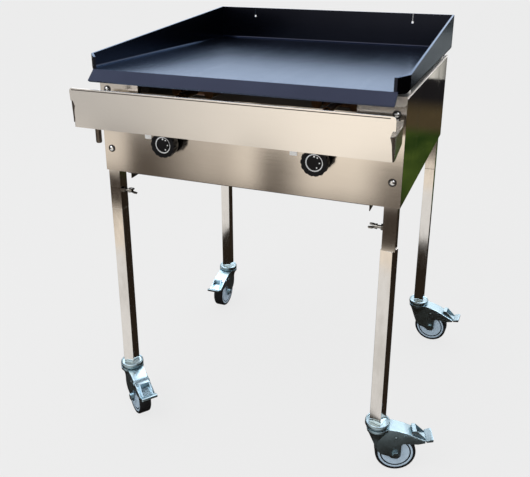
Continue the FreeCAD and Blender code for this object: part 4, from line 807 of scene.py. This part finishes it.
zinc = mottled(
    "blue_zinc_plate", ((0.31, 0.42, 0.46), (0.44, 0.56, 0.61)), (60, 60, 60),
    detail=5, noise=0.7, roughness=0.22, drift=0.18, metallic=1,
)
disc_plastic = mottled(
    "wheel_disc_plastic", ((0.38, 0.49, 0.60), (0.46, 0.58, 0.69)), (300, 300, 300),
    detail=3, roughness=0.42,
)
rubber = mottled(
    "tyre_rubber", ((0.004, 0.004, 0.005), (0.014, 0.014, 0.015)), (90, 90, 90),
    detail=4, roughness=0.5, drift=0.25, specular_IOR_level=0.25,
)
CASTER_PIECES = (
    (head, "caster_head", "lower_leg", "zinc_plate", (zinc,)),
    (fork, "caster_fork", "caster_swivel", "zinc_plate", (zinc,)),
    (disc, "wheel_hub", "caster_wheel", "wheel_disc", (disc_plastic, rubber)),
    (band, "wheel_tyre", "caster_wheel", "tyre", (rubber,)),
)
for corner in CORNERS:
    place, turn = caster_stand(corner)
    for piece, node, body, slot, finishes in CASTER_PIECES:
        made = copied(piece, f"finished_{piece.name}_{corner}", place, (0, 0, turn))
        settle(made, f"{body}_{corner}", slot, *finishes)
        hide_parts(f"{node}_{corner}")
        if piece is disc:
            rubber_in_groove(made, corner)
    pressed(f"brake_pedal_{corner}", zinc, "zinc_plate", 0.0006)
    pressed(f"axle_bolt_{corner}", zinc, "bright_fastener", 0.0009, 3)
for piece in (head, fork, disc, band):
    bpy.data.objects.remove(piece)

# Gas: a manifold tube with an inlet elbow at the left feeds a brass valve behind each knob, and
# each valve a bent-tube burner on two cross rails. The tube is lacquered; the burners are
# bare steel, browned and blued by their own flames.
pipe_lacquer = mottled(
    "pipe_lacquer", ((0.07, 0.055, 0.045), (0.20, 0.165, 0.135)), (120, 120, 40),
    detail=4, roughness=0.26, drift=0.22, metallic=1,
)
brass = mottled(
    "valve_brass", ((0.42, 0.28, 0.11), (0.66, 0.48, 0.22)), (90, 90, 90),
    detail=4, roughness=0.22, drift=0.2, metallic=1,
)
burner_steel = Finish("heat_tinted_steel", metallic=1)
heat = burner_steel.cloud((11, 11, 11), detail=4, roughness=0.6)
tint = burner_steel.blend(heat.between(0.35, 0.6), (0.10, 0.05, 0.025), (0.20, 0.10, 0.045))
tint = burner_steel.blend(heat.between(0.56, 0.74), tint, (0.055, 0.05, 0.075))
burner_steel.paint(base_color=tint, roughness=0.36 + heat * 0.25)
pressed("gas_manifold", pipe_lacquer, "gas_pipe", 0.0003)
pressed("gas_valves", brass, "valve_brass", 0.0005)
for node in ("burner_left", "burner_right"):
    pressed(node, burner_steel, "burner_steel", 0.0004)
pressed("burner_rails", panel_steel, "panel_steel")

# Knobs: moulded black plastic with finger lobes and a dished face that carries a white ring
# and four white dots. Each pushes on to a turned steel stem, beside a plain white tag.
KNOB_X, KNOB_Z = 0.184, 0.786
KNOB_FLOOR = -0.366
GRIPS, GRIP_CIRCLE, GRIP_RADIUS, GRIP_LENGTH = 14, 0.0345, 0.0056, 0.05
MARK_RISE = 0.0004
MARK_EDGE = 0.3 * MARK_RISE
RING = (0.0174, 0.0201)
DOTS = [
    (-0.0006, 0.0140, 0.0021), (0.0066, 0.0116, 0.0016), (0.0116, 0.0001, 0.0015),
    (0.0056, -0.0108, 0.0015),
]


def knob_marks(name):
    """The raised ring and dots of a knob's face, flat on the floor round the origin."""
    low, high = RING
    side = MARK_RISE - MARK_EDGE
    ring = [(low, 0), (low, side), (low + MARK_EDGE, MARK_RISE)]
    ring += [(high - MARK_EDGE, MARK_RISE), (high, side), (high, 0)]
    marks = [turned("ring", ring, 96, closed=True)]
    for across, up, radius in DOTS:
        profile = [(0, 0), (radius, 0), (radius, side), (radius - MARK_EDGE, MARK_RISE)]
        dot = turned("dot", profile + [(0, MARK_RISE)], 32)
        dot.location = (across, up, 0)
        marks.append(dot)
    return joined(name, marks)


knob_plastic = Finish("knob_plastic", specular_IOR_level=0.16)
mould = knob_plastic.cloud((900, 900, 900), detail=2)
wear = knob_plastic.cloud((60, 60, 60), detail=4).between(0.5, 0.75)
knob_plastic.paint(
    base_color=knob_plastic.blend(wear, (0.0025, 0.0025, 0.0045), (0.007, 0.007, 0.009)),
    roughness=0.38 + wear * 0.2,
)
knob_plastic.relief(mould, 0.00008, 0.4)
mark_paint = Finish("knob_mark_paint", roughness=0.45)
worn = mark_paint.cloud((700, 700, 700), detail=3).between(0.62, 0.72)
mark_paint.paint(base_color=mark_paint.blend(worn, (0.95, 0.96, 0.97), (0.45, 0.46, 0.48)))
for sign, side in ((-1, "left"), (1, "right")):
    face = Vector((sign * KNOB_X, KNOB_FLOOR, KNOB_Z))
    knob = pressed(f"control_knob_{side}", knob_plastic, "knob", 0.0009, 3)
    grips = []
    for i in range(GRIPS):
        turn = math.radians(90 + 360 / GRIPS * i)
        bpy.ops.mesh.primitive_cylinder_add(
            vertices=20,
            radius=GRIP_RADIUS,
            depth=GRIP_LENGTH,
            location=GRIP_CIRCLE * Vector((math.cos(turn), 0, math.sin(turn))) + face,
            rotation=TO_FRONT,
        )
        grips.append(bpy.context.object)
    soften(carve(knob, joined("grips", grips)))
    pressed(f"valve_stem_{side}", bolt_chrome, "bright_fastener", 0.0004)
    marks = knob_marks(f"knob_marks_{side}")
    marks.rotation_euler = TO_FRONT
    marks.location = face
    settle(soften(marks), f"control_knob_{side}", "knob", mark_paint)
tag_white = mottled(
    "tag_white", ((0.98, 0.98, 0.97), (0.90, 0.90, 0.88)), (160, 160, 160),
    detail=4, roughness=0.35,
)
pressed("marker_plates", tag_white, "tag", 0.0002)

# Griddle plate: 5 mm rolled steel, folded up at the back and sides and down at the front lip,
# blued by heat and faintly oiled. It lifts off the levelling screws.
plate_steel = Finish("griddle_plate_steel", metallic=1, specular_tint=(0.72, 0.84, 1.0))
film = plate_steel.cloud((5, 2.2, 5), detail=5, roughness=0.62)
wipes = plate_steel.cloud((60, 3, 60), detail=3, roughness=0.5)
pits = plate_steel.cloud((900, 900, 900), detail=2)
plate_steel.paint(
    base_color=plate_steel.blend(film, (0.012, 0.013, 0.019), (0.020, 0.022, 0.032)),
    roughness=0.15 + film * 0.10 + wipes * 0.05,
)
plate_steel.relief(pits * 0.5 + film * 0.5, 0.00005, 0.4)
pressed("griddle_plate", plate_steel, "griddle_steel", 0.0011, 3)

# Grease trough: a pan folded from brushed stainless sheet and hooked over two hangers. Its front
# flange ends in a hem, whose fold shows as two fine grooves; a thin near-black sheet at its left
# end is a painted dark reflection of that end's fold.
RIM_LEFT, RIM_RIGHT = -0.3620, 0.3570
# Each groove has its lower and upper height, its depth and the Y of the face that it is cut in.
RIM_GROOVES = [(0.9160, 0.9180, 0.0012, -0.4488), (0.9100, 0.9107, 0.0004, -0.4483)]
PAINTED_REFLECTION_SHEET = [
    (-0.3676, 0.8925), (-0.3560, 0.8925), (-0.3585, 0.8660), (-0.3635, 0.8420), (-0.3656, 0.8420),
]
PAINTED_REFLECTION_SHEET_Y = (-0.4446, -0.4436)
trough_steel = brushed_steel(
    "brushed_trough_steel", (0.80, 0.77, 0.73), (0.68, 0.65, 0.61), 0.14, 0.26, lean=-0.06
)
trough = pressed("grease_trough", trough_steel, "panel_steel")
for low, high, depth, rim in RIM_GROOVES:
    groove = [(RIM_LEFT, low), (RIM_RIGHT, low), (RIM_RIGHT, high), (RIM_LEFT, high)]
    carve(trough, cut_out("groove", groove, rim - 0.01, rim + depth))
soften(trough, 0.0002, 1)
# The deeper groove is the open end of the hem; its inside takes the near-black steel as painted
# shade.
trough.data.materials.append(painted_shade_steel.owner)
low, high, depth, rim = RIM_GROOVES[0]
for face in trough.data.polygons:
    x, y, z = face.center
    if low - 0.0004 < z < high + 0.0004 and rim + 0.0003 < y < rim + depth + 0.0001:
        face.material_index = 1
# A thin near-black sheet at the trough's left end: painted dark reflection of the end's fold.
painted_reflection_sheet = soften(cut_out("trough_painted_reflection_sheet", PAINTED_REFLECTION_SHEET, *PAINTED_REFLECTION_SHEET_Y), 0.0002, 1)
settle(painted_reflection_sheet, "grease_trough", "panel_steel", painted_shade_steel)
